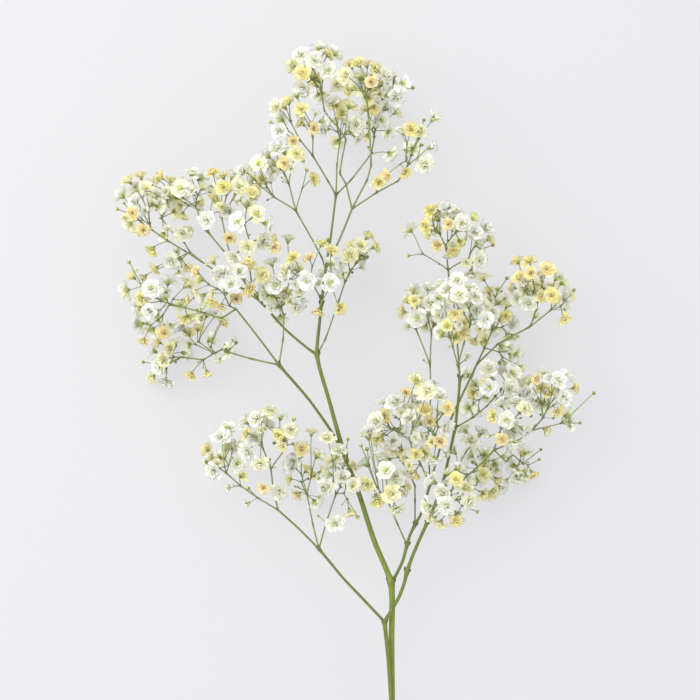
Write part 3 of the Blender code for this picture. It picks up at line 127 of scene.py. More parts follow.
# Stems fused in one node: photo column, photo row, lift off the main stem's height, radius
STEMS = {
    "main": ((393, 915, 0, 1.9), (392.5, 768, 0, 1.95), (392, 700, 0, 1.9), (391.5, 640, 0, 1.8),
             (391, 582, 0, 1.85), (387, 571, 0, 1.65), (375, 543, 0, 1.6), (358, 491, 0, 1.45),
             (345, 456, 0, 1.4), (329, 400, 0, 1.15), (317, 355, 0, 1.15), (319.5, 323, 0, 0.9),
             (321.5, 304, 0, 0.9), (325.5, 270, 0, 0.8), (331, 235, 0, 0.68), (334, 211, 0, 0.62),
             (336, 195, 0, 0.62)),
    "second": ((392.5, 768, 0, 1.3), (391.8, 740, 3.4, 1.3), (391, 700, 4.6, 1.25), (388, 655, 4.8, 1.2),
               (384.5, 622, 5.2, 1.3)),
    "second_left": ((384.5, 622, 5.2, 1.0), (379, 616, 5.4, 0.85), (363, 599, 4, 0.85), (343, 578, 1, 0.8),
                    (329, 561, -2, 0.8), (319, 549, -4, 0.85)),
    "second_right": ((384.5, 622, 5.2, 1.2), (391, 611, 6.4, 1.1), (399, 597, 6.8, 1.05), (404, 584, 7, 1.05),
                     (407, 572, 7, 1.2), (411, 560, 7, 1.05), (418, 543, 8, 1.0), (427, 523, 9, 1.05),
                     (434, 507, 10, 0.95), (444, 478, 11, 0.9), (451, 447, 12, 0.85), (455, 428, 12, 0.9),
                     (458, 403, 12, 0.8), (460, 378, 12, 0.85)),
    "inner_right": ((391, 582, 0, 1.1), (396, 575, -1.5, 1.0), (403, 560, -4, 0.95), (407, 545, -6, 1.0),
                    (410, 535, -7, 0.85), (415, 525, -8, 0.95), (421, 514, -9, 0.8), (427, 495, -11, 0.8),
                    (430, 484, -12, 0.85)),
    "lower_left": ((345, 456, 0, 1.0), (333, 434, 2.5, 0.85), (310, 401, 6, 0.8), (279, 365, 9, 0.9)),
    "upper_left": ((317, 355, 0, 0.9), (306, 347, 1, 0.75), (285, 329, 3, 0.7), (262, 303, 5, 0.75),
                   (246, 284, 6, 0.6), (232, 261, 6, 0.6), (217, 243, 6, 0.5), (208, 232, 6, 0.55)),
}

# Swollen joints of those stems with a pair of small dry scales: stem, point along it, swelling
JOINTS = (("main", 1, 1.35), ("main", 4, 1.35), ("main", 8, 1.25), ("main", 10, 1.35), ("main", 12, 1.4),
          ("main", 16, 1.5), ("second", 4, 1.4), ("second_left", 5, 1.5), ("second_right", 4, 1.35),
          ("second_right", 7, 1.25), ("second_right", 11, 1.3), ("second_right", 13, 1.45),
          ("inner_right", 3, 1.3), ("inner_right", 5, 1.4), ("inner_right", 8, 1.4),
          ("lower_left", 3, 1.5), ("upper_left", 3, 1.35), ("upper_left", 7, 1.4))

# One spray a node. Each has the stem point it springs from, its lift, its depth to each side,
# the forks as photo column, photo row and the fork before it (-1 is the root), hidden blooms added,
# and the blooms seen in the photo.
SPRAYS = {
    "spray_head_left": (("main", 16), 26, 16, (
        (328, 181, -1), (313, 156, 0), (300, 140, 1), (313, 138, 1)), 4, (
        (288, 101, Y), (301, 108, Y), (302, 123, A), (314, 128, A), (292, 141, A), (281, 118, W),
        (270, 122, B), (276, 108, C), (325, 124, W), (304, 162, B), (296, 93, W), (280, 131, W))),
    "spray_head_middle": (("main", 16), -4, 14, (
        (337, 165, -1), (340, 138, 0)), 4, (
        (337, 145, C), (353, 144, W), (342, 115, Y), (357, 125, W), (331, 102, W), (349, 104, C),
        (328, 140, W))),
    "spray_head_right": (("main", 16), -34, 18, (
        (351, 180, -1), (371, 154, 0), (372, 128, 1)), 6, (
        (369, 139, A), (380, 125, W), (391, 135, W), (375, 112, Y), (365, 108, Y), (398, 112, Y),
        (388, 108, W), (383, 98, A), (405, 105, W), (392, 155, W))),
    "spray_crown_left": (("crown", 2), 2, 18, (
        (346, 184, -1), (340, 174, 0), (346, 139, 1), (325, 112, 2), (319, 84, 3)), 8, (
        (292, 64, C), (305, 52, W), (320, 46, W), (314, 60, W), (327, 58, Y), (334, 52, W),
        (302, 75, Y), (307, 80, A), (335, 85, C), (318, 72, W), (322, 93, C), (329, 73, W),
        (309, 95, W), (299, 60, Y))),
    "spray_crown_middle": (("crown", 2), 18, 20, (
        (367, 180, -1), (371, 166, 0), (368, 110, 1)), 8, (
        (350, 65, Y), (358, 64, Y), (366, 66, Y), (344, 76, C), (354, 92, Y), (369, 94, Y),
        (385, 75, W), (393, 80, W), (403, 84, W), (377, 68, C), (362, 79, W), (372, 82, A),
        (388, 82, B), (413, 88, B), (396, 96, W), (381, 88, W))),
    "spray_crown_right": (("crown", 2), 34, 14, (
        (376, 193, -1), (398, 181, 0), (408, 164, 1)), 4, (
        (379, 182, Y), (386, 176, A), (404, 172, Y), (425, 165, W), (432, 147, W), (434, 118, W),
        (405, 130, W), (420, 145, B), (424, 120, B), (418, 131, C), (412, 150, W))),
    "spray_left_thin": (("main", 13), 28, 16, (
        (322, 258, -1), (296, 211, 0), (289, 184, 1), (302, 189, 1), (274, 197, 1)), 7, (
        (286, 152, W), (286, 163, Y), (266, 155, W), (258, 163, C), (243, 172, W), (262, 178, Y),
        (257, 190, A), (314, 179, Y), (273, 168, W), (277, 147, W), (251, 179, C), (296, 154, C),
        (307, 170, B))),
    "spray_collar": (("main", 12), 30, 12, (
        (320, 297, -1), (309, 280, 0), (331, 285, 0)), 4, (
        (303, 300, W), (310, 283, W), (318, 312, Y), (339, 308, Y), (330, 283, W), (322, 243, Y),
        (332, 250, Y), (309, 258, A), (332, 264, W), (292, 258, Y), (284, 272, W))),
    "spray_middle_right": (("main", 10), -16, 14, (
        (325, 340, -1), (339, 300, 0), (345, 282, 1)), 4, (
        (352, 247, Y), (361, 245, C), (375, 246, Y), (349, 256, C), (368, 237, Y), (357, 258, W),
        (340, 266, W), (367, 257, B), (331, 288, W), (328, 240, B))),
    "spray_ridge_tip": (("upper_left", 7), -8, 16, (
        (201, 222, -1), (196, 207, 0), (212, 214, 0)), 7, (
        (200, 203, A), (190, 173, W), (200, 177, W), (182, 190, C), (172, 190, Y), (182, 215, Y),
        (160, 177, Y), (209, 188, C), (150, 186, C), (191, 193, W), (165, 201, W), (215, 199, Y))),
    "spray_ridge_middle": (("upper_left", 5), 24, 14, (
        (226, 240, -1), (221, 216, 0)), 5, (
        (223, 175, Y), (223, 187, Y), (236, 199, C), (231, 243, A), (212, 172, Y), (233, 176, W),
        (241, 187, C), (210, 232, W), (229, 212, W))),
    "spray_ridge_right": (("upper_left", 3), 38, 14, (
        (252, 284, -1), (247, 243, 0), (243, 222, 1)), 6, (
        (247, 203, W), (257, 215, C), (262, 240, W), (275, 247, A), (246, 265, Y), (262, 275, C),
        (237, 222, W), (268, 226, W), (252, 192, Y), (233, 258, W), (248, 250, C))),
    "spray_far_left": (("shoulder", 2), 14, 16, (
        (185, 251, -1), (168, 241, 0), (150, 228, 1)), 6, (
        (120, 195, W), (124, 203, B), (139, 205, W), (132, 213, A), (144, 230, A), (152, 250, Y),
        (146, 188, C), (133, 192, W), (160, 213, C), (128, 180, C), (141, 176, Y), (117, 209, B))),
    "spray_left_shoulder": (("shoulder", 2), -22, 18, (
        (190, 252, -1), (176, 237, 0), (160, 217, 1)), 5, (
        (175, 210, C), (155, 269, Y), (144, 277, A), (172, 261, W), (187, 268, A), (163, 236, W),
        (155, 195, W), (170, 179, C), (183, 233, W), (171, 196, Y))),
    "spray_left_low": (("low_middle", 2), -12, 20, (
        (222, 318, -1), (205, 313, 0), (170, 305, 1)), 8, (
        (125, 290, W), (140, 298, Y), (148, 305, A), (163, 293, W), (180, 302, Y), (197, 300, Y),
        (183, 318, Y), (174, 326, W), (203, 310, W), (143, 341, Y), (140, 325, W), (164, 333, A),
        (132, 276, C), (156, 317, C), (129, 262, B), (137, 309, W), (168, 281, W), (187, 285, C),
        (151, 331, W))),
    "spray_left_inner": (("low_middle", 2), 30, 16, (
        (229, 306, -1), (223, 293, 0)), 6, (
        (237, 299, A), (220, 307, A), (213, 300, Y), (250, 290, Y), (221, 272, W), (203, 283, Y),
        (232, 283, W), (212, 260, C), (241, 272, W), (196, 272, A), (205, 295, W))),
    "spray_left_bottom": (("lower_left", 3), -34, 18, (
        (252, 359, -1), (228, 352, 0), (208, 338, 1), (200, 360, 1), (178, 357, 3)), 8, (
        (204, 326, Y), (209, 343, W), (220, 329, W), (231, 328, Y), (222, 354, W), (174, 342, W),
        (187, 342, W), (198, 340, A), (165, 357, C), (176, 352, C), (152, 350, W), (191, 375, Y),
        (212, 372, A), (152, 379, C), (165, 382, W), (143, 362, B), (236, 343, B), (159, 366, W),
        (190, 358, W), (183, 330, W), (158, 342, Y))),
    "spray_inner_left": (("lower_left", 3), 12, 14, (
        (283, 340, -1), (283, 312, 0)), 6, (
        (281, 320, W), (270, 302, W), (284, 298, A), (276, 286, W), (262, 290, W), (296, 288, W),
        (291, 309, W), (300, 270, C), (288, 239, C), (271, 262, W), (297, 318, B))),
    "spray_low_left_tip": (("low_left", 2), -6, 18, (
        (258, 498, -1), (240, 486, 0), (226, 473, 1)), 7, (
        (206, 449, A), (213, 472, W), (229, 444, A), (221, 436, W), (231, 457, W), (244, 476, Y),
        (238, 463, W), (218, 460, C), (241, 446, C), (228, 428, W), (206, 462, B), (248, 488, B))),
    "spray_low_left_top": (("low_left", 2), 20, 16, (
        (272, 487, -1), (271, 469, 0), (261, 447, 1), (283, 452, 1)), 7, (
        (245, 420, W), (246, 433, A), (248, 452, W), (260, 465, C), (264, 488, A), (281, 499, W),
        (280, 435, Y), (268, 425, W), (281, 416, W), (294, 419, B), (258, 440, W), (290, 430, C),
        (257, 418, W), (274, 445, B), (270, 410, C), (293, 444, B))),
    "spray_low_left_middle": (("second_left", 5), -28, 16, (
        (313, 525, -1), (307, 494, 0)), 7, (
        (315, 503, W), (298, 495, A), (289, 480, A), (293, 461, W), (308, 470, Y), (312, 432, C),
        (302, 446, W), (318, 455, W), (286, 466, W), (322, 472, C))),
    "spray_low_left_right": (("second_left", 5), 16, 14, (
        (326, 523, -1), (337, 492, 0)), 7, (
        (331, 464, C), (326, 486, W), (348, 506, Y), (335, 524, W), (353, 484, C), (353, 468, A),
        (327, 437, C), (342, 478, W), (348, 439, B), (339, 450, W), (357, 517, B), (318, 478, B))),
    "spray_centre_left": (("inner_right", 3), 16, 18, (
        (397, 523, -1), (387, 499, 0)), 8, (
        (376, 473, W), (377, 501, Y), (404, 487, A), (397, 510, W), (369, 431, W), (378, 455, W),
        (386, 470, W), (366, 484, C), (364, 463, W), (395, 478, W), (367, 449, B), (391, 494, C),
        (361, 445, B))),
    "spray_centre_rise": (("inner_right", 5), -26, 22, (
        (415, 500, -1), (415, 486, 0), (402, 461, 1), (397, 430, 2)), 11, (
        (381, 414, A), (389, 422, Y), (385, 434, Y), (406, 392, A), (395, 401, W), (395, 451, C),
        (376, 421, W), (403, 411, W), (393, 441, W), (410, 402, W), (402, 433, W), (417, 382, C),
        (385, 401, W), (411, 446, W), (374, 441, C), (389, 460, W))),
    "spray_centre_top": (("inner_right", 8), 22, 20, (
        (419, 459, -1), (412, 436, 0), (431, 440, 0)), 9, (
        (419, 423, W), (423, 396, C), (432, 425, A), (440, 441, A), (434, 461, W), (416, 452, Y),
        (423, 408, Y), (409, 420, W), (427, 448, W), (436, 409, B), (443, 413, B), (447, 407, Y),
        (441, 396, W), (431, 385, W), (446, 428, W), (424, 474, B), (416, 474, Y))),
    "spray_low_right": (("second_right", 8), 40, 14, (
        (437, 502, -1), (450, 502, 0)), 7, (
        (439, 520, C), (456, 520, Y), (443, 493, W), (456, 479, Y), (470, 501, W), (450, 511, W),
        (426, 507, W), (466, 488, C), (459, 466, W), (478, 512, B), (432, 481, W))),
    "spray_right_low": (("second_right", 9), -24, 22, (
        (455, 470, -1), (470, 487, 0), (481, 470, 0)), 9, (
        (497, 479, A), (492, 493, C), (486, 456, W), (471, 440, W), (453, 451, W), (506, 456, W),
        (480, 478, W), (483, 466, Y), (466, 456, W), (484, 496, C), (464, 429, W), (481, 433, W),
        (474, 463, B), (496, 466, W), (502, 490, W))),
    "spray_right_fan": (("outer_right", 3), 26, 16, (
        (503, 428, -1), (515, 418, 0)), 7, (
        (512, 403, W), (526, 408, C), (522, 430, W), (502, 440, A), (493, 414, Y), (531, 416, B),
        (504, 419, W), (515, 443, W), (489, 436, B), (499, 404, W), (510, 431, W))),
    "spray_right_tip": (("outer_right", 3), 2, 16, (
        (517, 441, -1), (536, 429, 0), (543, 418, 1), (560, 424, 1)), 9, (
        (542, 406, W), (557, 409, Y), (549, 391, Y), (554, 380, W), (537, 380, A), (575, 387, Y),
        (594, 393, B), (538, 434, Y), (564, 398, W), (532, 395, W), (545, 372, W), (560, 389, W),
        (568, 416, C), (566, 376, W), (580, 423, B), (528, 386, C))),
    "spray_right_under": (("outer_right", 3), -28, 14, (
        (506, 462, -1), (513, 453, 0), (519, 464, 1)), 4, (
        (516, 478, W), (533, 474, Y), (527, 445, Y), (539, 459, B), (539, 447, B), (511, 466, W),
        (524, 459, W))),
    "spray_right_middle": (("second_right", 11), -8, 18, (
        (472, 418, -1), (487, 406, 0), (498, 393, 1)), 8, (
        (476, 395, Y), (494, 387, Y), (511, 388, C), (488, 370, W), (512, 372, W), (467, 408, W),
        (481, 384, W), (502, 378, W), (477, 410, W), (466, 375, W), (521, 392, W), (505, 398, W))),
    "spray_upper_left_rise": (("inner_right", 8), -16, 18, (
        (428, 440, -1), (431, 392, 0), (430, 365, 1), (417, 330, 2), (431, 332, 2)), 9, (
        (402, 312, Y), (414, 301, Y), (423, 313, W), (440, 316, W), (428, 288, W), (413, 290, W),
        (431, 303, W), (421, 298, W), (417, 318, W), (407, 300, C), (440, 298, B), (438, 330, W),
        (444, 304, W), (426, 327, C))),
    "spray_upper_stalks": (("second_right", 13), 32, 20, (
        (458, 366, -1), (453, 344, 0), (464, 343, 0), (470, 325, 2)), 11, (
        (464, 323, A), (455, 314, Y), (446, 327, Y), (459, 294, W), (467, 302, W), (452, 300, W),
        (447, 288, W), (476, 312, W), (485, 309, C), (470, 289, W), (440, 283, W), (457, 280, W),
        (479, 325, C), (441, 340, B), (475, 297, W), (463, 340, Y), (486, 320, W))),
    "spray_upper_right": (("upper_right", 2), -30, 22, (
        (484, 348, -1), (492, 330, 0), (498, 352, 0)), 11, (
        (495, 330, W), (505, 316, Y), (489, 290, Y), (519, 298, W), (508, 335, C), (497, 300, W),
        (484, 340, Y), (507, 305, Y), (520, 368, Y), (504, 350, W), (483, 279, C), (507, 278, B),
        (512, 324, W), (480, 333, W), (499, 366, W), (515, 355, W), (492, 313, W), (475, 342, Y))),
    "spray_far_right": (("upper_right", 2), 12, 18, (
        (498, 344, -1), (530, 327, 0), (537, 310, 1), (551, 309, 1)), 11, (
        (517, 260, Y), (529, 260, Y), (541, 276, A), (547, 269, Y), (557, 277, C), (564, 283, C),
        (541, 297, Y), (560, 299, W), (564, 319, Y), (574, 290, B), (518, 336, B), (531, 273, Y),
        (524, 287, W), (552, 287, W), (519, 277, Y), (536, 287, C), (549, 303, Y), (530, 303, W),
        (512, 288, A))),
    "spray_top_right": (("high_right", 3), 6, 18, (
        (448, 270, -1), (423, 254, 0), (446, 247, 0), (470, 258, 0)), 9, (
        (408, 229, W), (430, 211, Y), (437, 217, C), (447, 208, W), (456, 211, W), (473, 218, Y),
        (425, 225, Y), (429, 232, Y), (449, 224, A), (440, 246, A), (460, 242, Y), (475, 231, W),
        (477, 247, W), (489, 239, A), (480, 260, W), (470, 274, W), (464, 223, W), (438, 207, W),
        (461, 220, B), (408, 256, B), (466, 234, C), (486, 228, W), (451, 251, Y), (493, 245, B))),
}

# Thin stems that carry sprays and are fused in the node of the fused stems
BRANCHES = {
    "crown": (("main", 13), (341, 236, 3, 0.6), (352, 209, 6, 0.6)),
    "shoulder": (("upper_left", 3), (234, 283, 0, 0.5), (202, 262, -2, 0.5)),
    "low_middle": (("lower_left", 3), (258, 337, 12, 0.6), (236, 309, 12, 0.55)),
    "low_left": (("second_left", 5), (297, 527, -4, 0.62), (278, 510, -4, 0.62)),
    "outer_right": (("second_right", 8), (458, 484, 4, 0.6), (482, 463, 2, 0.6), (494, 450, 1, 0.6)),
    "upper_right": (("inner_right", 8), (445, 433, -6, 0.65), (477, 364, -4, 0.65)),
    "high_right": (("second_right", 13), (457, 340, 0, 0.55), (454, 305, -4, 0.5), (449, 277, -6, 0.5)),
}


def axis_height(row):
    return float(np.interp(row, AXIS_ROWS, AXIS_HEIGHTS))


def place(column, row, height):
    # The photo looks straight down: higher things look larger, so they are set nearer the middle
    scale = MM_PER_PIXEL * (VIEW_HEIGHT - height) / (VIEW_HEIGHT - VIEW_PLANE)
    return np.array(((column - VIEW_MIDDLE) * scale, (VIEW_MIDDLE - row) * scale, height))


def unit(vector):
    return vector / max(np.linalg.norm(vector), TINY)


def lengths(vectors):
    return np.linalg.norm(vectors, axis=1)


def dots(first, second):
    return np.einsum("ij,ij->i", first, second)


def stem_paths():
    # Points and radii of every fused stem, thin branches too
    paths = {}
    for name, rows in STEMS.items():
        points = [place(c, r, axis_height(r) + lift) for c, r, lift, _ in rows]
        paths[name] = (points, [radius for *_, radius in rows])
    for name, (root, *rows) in BRANCHES.items():
        start = paths[root[0]][0][root[1]]
        points = [start] + [place(c, r, axis_height(r) + lift) for c, r, lift, _ in rows]
        paths[name] = (points, [rows[0][3]] + [radius for *_, radius in rows])
    return paths


class Tree:
    # Points of all sprays together: place, parent, kind, spray and colour
    def __init__(self):
        self.place, self.parent, self.kind, self.spray, self.colour = [], [], [], [], []

    def add(self, place, parent, kind, spray, colour=""):
        self.place.append(np.array(place, dtype=float))
        self.parent.append(parent)
        self.kind.append(kind)
        self.spray.append(spray)
        self.colour.append(colour)
        return len(self.place) - 1


def spray_blooms(spray, rng):
    # Blooms read off the photo get a depth by a domed rule, and hidden ones are drawn between them
    _, lift, depth, _, hidden, seen = spray
    middle = np.mean([(c, r) for c, r, _ in seen], axis=0)
    reach = max(math.hypot(c - middle[0], r - middle[1]) for c, r, _ in seen)
    blooms = []
    for number, (column, row, colour) in enumerate(seen):
        out = math.hypot(column - middle[0], row - middle[1]) / reach
        dome = math.sqrt(max(0.0, 1.0 - DOME_FALL * out * out))
        turn = (number * GOLDEN_SHARE + rng.random() * DEPTH_JITTER) % 1.0
        offset = (2.0 * turn - 1.0) * depth * dome
        blooms.append((column, row, axis_height(row) + lift + offset, colour))
    for _ in range(round(hidden * HIDDEN_SHARE)):
        first = rng.choice(seen)
        near = sorted(seen, key=lambda b: math.hypot(b[0] - first[0], b[1] - first[1]))[1:4]
        second = rng.choice(near)
        share = rng.uniform(*HIDDEN_BETWEEN)
        column = first[0] + (second[0] - first[0]) * share + rng.uniform(-HIDDEN_DRIFT, HIDDEN_DRIFT)
        row = first[1] + (second[1] - first[1]) * share + rng.uniform(-HIDDEN_DRIFT, HIDDEN_DRIFT)
        side = -1.0 if rng.random() < HIDDEN_BELOW else 1.0
        offset = side * rng.uniform(*HIDDEN_DEPTH) * depth
        blooms.append((column, row, axis_height(row) + lift + offset, rng.choice(HIDDEN_COLOURS)))
    return blooms


def split_items(origin, items, places):
    # Two or three groups of neighbours by direction from the fork
    directions = np.array([unit(places[i] - origin) for i in items])
    centre = unit(directions.mean(axis=0))
    spread = directions - np.outer(directions @ centre, centre)
    _, _, axes = np.linalg.svd(spread - spread.mean(axis=0))
    flat = spread @ axes[:2].T
    if len(items) <= 4:
        order = np.argsort(flat[:, 0])
        cuts = (0, len(items) // 2, len(items))
    else:
        angle = np.arctan2(flat[:, 1], flat[:, 0])
        order = np.argsort(angle)
        gaps = np.diff(np.append(angle[order], angle[order[0]] + 2 * math.pi))
        order = np.roll(order, -((int(np.argmax(gaps)) + 1) % len(order)))
        third = len(order) / 3.0
        cuts = (0, round(third), round(2 * third), len(order))
    return [[items[i] for i in order[low:high]] for low, high in zip(cuts, cuts[1:]) if high > low]


def grow(tree, places, subtree, node, items, spray):
    # Items are the keys of blooms, or of forks read off the photo. At most three leave a fork.
    groups = [[item] for item in items]
    if len(items) > 3:
        groups = split_items(tree.place[node], items, places)
    for group in groups:
        item = group[0]
        if len(group) > 1:
            reach = np.mean([places[i] for i in group], axis=0) - tree.place[node]
            nearest = min(np.linalg.norm(places[i] - tree.place[node]) for i in group)
            share = min(FORK_SHARE, NEAREST_SHARE * nearest / max(np.linalg.norm(reach), NEAR_ZERO))
            fork = tree.add(tree.place[node] + reach * share, node, "fork", spray)
            grow(tree, places, subtree, fork, group, spray)
        elif item[0] == "bloom":
            tree.add(places[item], node, "bud" if item[2] == B else "bloom", spray, item[2])
        else:
            fork = tree.add(places[item], node, "fork", spray)
            grow(tree, places, subtree, fork, subtree[item], spray)


def stalk_cost(bloom, fork, base, busy):
    # A fork suits a bloom that is near and ahead of it, less so where it carries other forks
    away = bloom - fork
    distance = np.linalg.norm(away)
    ahead = float(away @ unit(fork - base)) / max(distance, NEAR_ZERO)
    return distance * (SIDE_COST - AHEAD_GAIN * ahead) + (BUSY_COST if busy else 0.0)


def layout(paths):
    tree = Tree()
    rng = random.Random(SEED)
    for name, spray in SPRAYS.items():
        root, _, _, forks, _, _ = spray
        blooms = spray_blooms(spray, rng)
        start = paths[root[0]][0][root[1]]
        mean = np.mean([place(c, r, h) for c, r, h, _ in blooms], axis=0)
        places = {}
        for number, (column, row, height, colour) in enumerate(blooms):
            height = min(max(height, LOWEST_BLOOM), HIGHEST_BLOOM)
            places[("bloom", number, colour)] = place(column, row, height)
        heads = list(places)
        # The forks rise evenly from the root to the mean height of the blooms
        for number, (column, row, before) in enumerate(forks):
            flat = place(column, row, start[2])
            share = np.linalg.norm((flat - start)[:2]) / max(np.linalg.norm((mean - start)[:2]), 1.0)
            height = start[2] + (mean[2] - start[2]) * min(share, 1.0)
            places[("fork", number, before)] = place(column, row, height)
        keys = list(places)[len(heads):]
        subtree = {key: [other for other in keys if other[2] == key[1]] for key in keys}
        for head in heads:
            costs = []
            for key in keys:
                base = start if key[2] < 0 else places[keys[key[2]]]
                busy = any(item[0] == "fork" for item in subtree[key])
                costs.append(stalk_cost(places[head], places[key], base, busy))
            subtree[keys[int(np.argmin(costs))]].append(head)
        node = tree.add(start, -1, "root", name)
        grow(tree, places, subtree, node, [key for key in keys if key[2] < 0], name)
    return tree


def closest_on_segments(p0, p1, q0, q1):
    # Shares along both segments at their closest points, for arrays of pairs
    d1, d2, r = p1 - p0, q1 - q0, p0 - q0
    a, e = dots(d1, d1) + TINY, dots(d2, d2) + TINY
    f, c, b = dots(d2, r), dots(d1, r), dots(d1, d2)
    denominator = a * e - b * b
    s = np.where(denominator > TINY, (b * f - c * e) / np.maximum(denominator, TINY), 0.0)
    t = np.clip((b * np.clip(s, 0.0, 1.0) + f) / e, 0.0, 1.0)
    return np.clip((b * t - c) / a, 0.0, 1.0), t


def near_pairs(middle_a, half_a, middle_b, half_b, reach):
    # Pairs of pieces whose middles are close enough to touch soon
    gap = np.linalg.norm(middle_a[:, None, :] - middle_b[None, :, :], axis=2)
    return np.where(gap < half_a[:, None] + half_b[None, :] + reach)


def push_apart(move, gap, least, share, first, second=None, most=np.inf):
    # Where a gap is under its least, both ends of each piece move by their share of what is lacking
    distance = lengths(gap)
    lack = np.minimum(least - distance, most)
    hit = lack > 0
    push = gap[hit] / np.maximum(distance[hit], NEAR_ZERO)[:, None] * lack[hit][:, None] * share
    for sign, ends in ((1.0, first), (-1.0, second)):
        if ends is None:
            continue
        low, high, along = ends
        along = along[hit][:, None]
        np.add.at(move, high[hit], sign * push * along)
        np.add.at(move, low[hit], sign * push * (1.0 - along))


def whole(points):
    # Points that move as they are, in the form that push_apart takes
    return points, points, np.ones(len(points))


class Web:
    # The blooms, twigs and fused stems that the relaxing step pushes apart.
    # A twig is known by the point at its far end.
    def __init__(self, tree, paths):
        self.now = np.array(tree.place)
        self.parent = np.array(tree.parent)
        self.kind = np.array(tree.kind)
        self.fixed = self.kind == "root"
        self.heads = np.where((self.kind == "bloom") | (self.kind == "bud"))[0]
        self.room = np.where(self.kind[self.heads] == "bud", BUD_SPACE, BLOOM_SPACE)
        self.far = np.where(self.parent >= 0)[0]
        self.near = self.parent[self.far]
        self.flowering = np.isin(self.far, self.heads)
        pieces = [(points[k], points[k + 1], max(radii[k], radii[k + 1]))
                  for points, radii in paths.values() for k in range(len(points) - 1)]
        self.stem_a, self.stem_b, self.stem_width = (np.array(column) for column in zip(*pieces))
        # Both ends of every two twigs that meet at a fork
        meetings = []
        for fork in np.unique(self.near):
            around = [int(point) for point in self.far[self.near == fork]]
            if self.parent[fork] >= 0:
                around.append(int(self.parent[fork]))
            for k, one in enumerate(around):
                meetings.extend((int(fork), one, two) for two in around[k + 1:])
        self.meetings = np.array(meetings).T
        self.lowest = np.full(len(self.kind), LOWEST_TWIG)
        self.lowest[self.kind == "bloom"] = LOWEST_BLOOM

    def find_pairs(self):
        p0, p1 = self.now[self.near], self.now[self.far]
        middle, half = (p0 + p1) / 2.0, lengths(p1 - p0) / 2.0
        heads = self.now[self.heads]
        none = np.zeros(len(heads))
        one, two = near_pairs(heads, none, heads, none, 2.0 * BLOOM_SPACE + PAIR_REACH)
        self.head_pairs = one[one < two], two[one < two]
        head, twig = near_pairs(heads, none, middle, half, BLOOM_SPACE + PAIR_REACH)
        other = self.heads[head] != self.far[twig]
        self.head_twigs = head[other], twig[other]
        one, two = near_pairs(middle, half, middle, half, PAIR_REACH)
        apart = (one < two) & (self.near[one] != self.near[two])
        apart &= (self.far[one] != self.near[two]) & (self.near[one] != self.far[two])
        self.twig_pairs = one[apart], two[apart]
        stem_middle, stem_half = (self.stem_a + self.stem_b) / 2.0, lengths(self.stem_b - self.stem_a) / 2.0
        self.twig_stems = near_pairs(middle, half, stem_middle, stem_half, PAIR_REACH)

    def part_heads(self, move):
        one, two = self.head_pairs
        gap = self.now[self.heads[one]] - self.now[self.heads[two]]
        least = self.room[one] + self.room[two] + TWIG_GAP
        push_apart(move, gap, least, 0.5, whole(self.heads[one]), whole(self.heads[two]))

    def part_heads_and_twigs(self, move):
        # A bloom against other twigs, those that end in a bloom only up to its base
        head, twig = self.head_twigs
        low, high = self.near[twig], self.far[twig]
        along = self.now[high] - self.now[low]
        relative = self.now[self.heads[head]] - self.now[low]
        share = np.clip(dots(relative, along) / (dots(along, along) + TINY), 0.0, 1.0)
        share = np.where(self.flowering[twig], np.minimum(share, 0.75), share)
        sibling = self.parent[self.heads[head]] == low
        least = np.where(sibling & (share < 0.35), 0.0, self.room[head] + PEDICEL_RADIUS + TWIG_GAP)
        push_apart(move, relative - share[:, None] * along, least, 0.4, whole(self.heads[head]),
                   (low, high, share))

    def part_twigs(self, move):
        one, two = self.twig_pairs
        p0, p1 = self.now[self.near[one]], self.now[self.far[one]]
        q0, q1 = self.now[self.near[two]], self.now[self.far[two]]
        s, t = closest_on_segments(p0, p1, q0, q1)
        gap = p0 + s[:, None] * (p1 - p0) - q0 - t[:, None] * (q1 - q0)
        push_apart(move, gap, 2.0 * TWIG_RADIUS + 2.0 * TWIG_GAP, 0.5,
                   (self.near[one], self.far[one], s), (self.near[two], self.far[two], t))

    def part_from_stems(self, move):
        # Twigs and blooms against the fused stems, a short way from a root left out
        twig, stem = self.twig_stems
        p0, p1 = self.now[self.near[twig]], self.now[self.far[twig]]
        q0, q1 = self.stem_a[stem], self.stem_b[stem]
        s, t = closest_on_segments(p0, p1, q0, q1)
        s = np.where(self.fixed[self.near[twig]], np.maximum(s, 0.4), s)
        gap = p0 + s[:, None] * (p1 - p0) - q0 - t[:, None] * (q1 - q0)
        room = np.where(self.flowering[twig] & (s > 0.7), BLOOM_SPACE, TWIG_RADIUS)
        push_apart(move, gap, self.stem_width[stem] * 1.3 + room + TWIG_GAP, 0.6,
                   (self.near[twig], self.far[twig], s))

    def open_forks(self, move):
        hub, one, two = self.meetings
        u, v = self.now[one] - self.now[hub], self.now[two] - self.now[hub]
        lu, lv = lengths(u) + NEAR_ZERO, lengths(v) + NEAR_ZERO
        reach = np.minimum(np.minimum(lu, lv), FORK_REACH)
        gap = u * (reach / lu)[:, None] - v * (reach / lv)[:, None]
        push_apart(move, gap, FORK_SPREAD * reach, 0.6, whole(one), whole(two), 1.0)

    def lengthen_twigs(self, move):
        # A bloom's stalk is long enough to bend
        gap = self.now[self.far] - self.now[self.near]
        least = np.where(self.kind[self.far] == "bloom", STALK_LEAST, TWIG_LEAST)
        push_apart(move, gap, least, 0.5, whole(self.far), whole(self.near))

    def straighten_twigs(self, move):
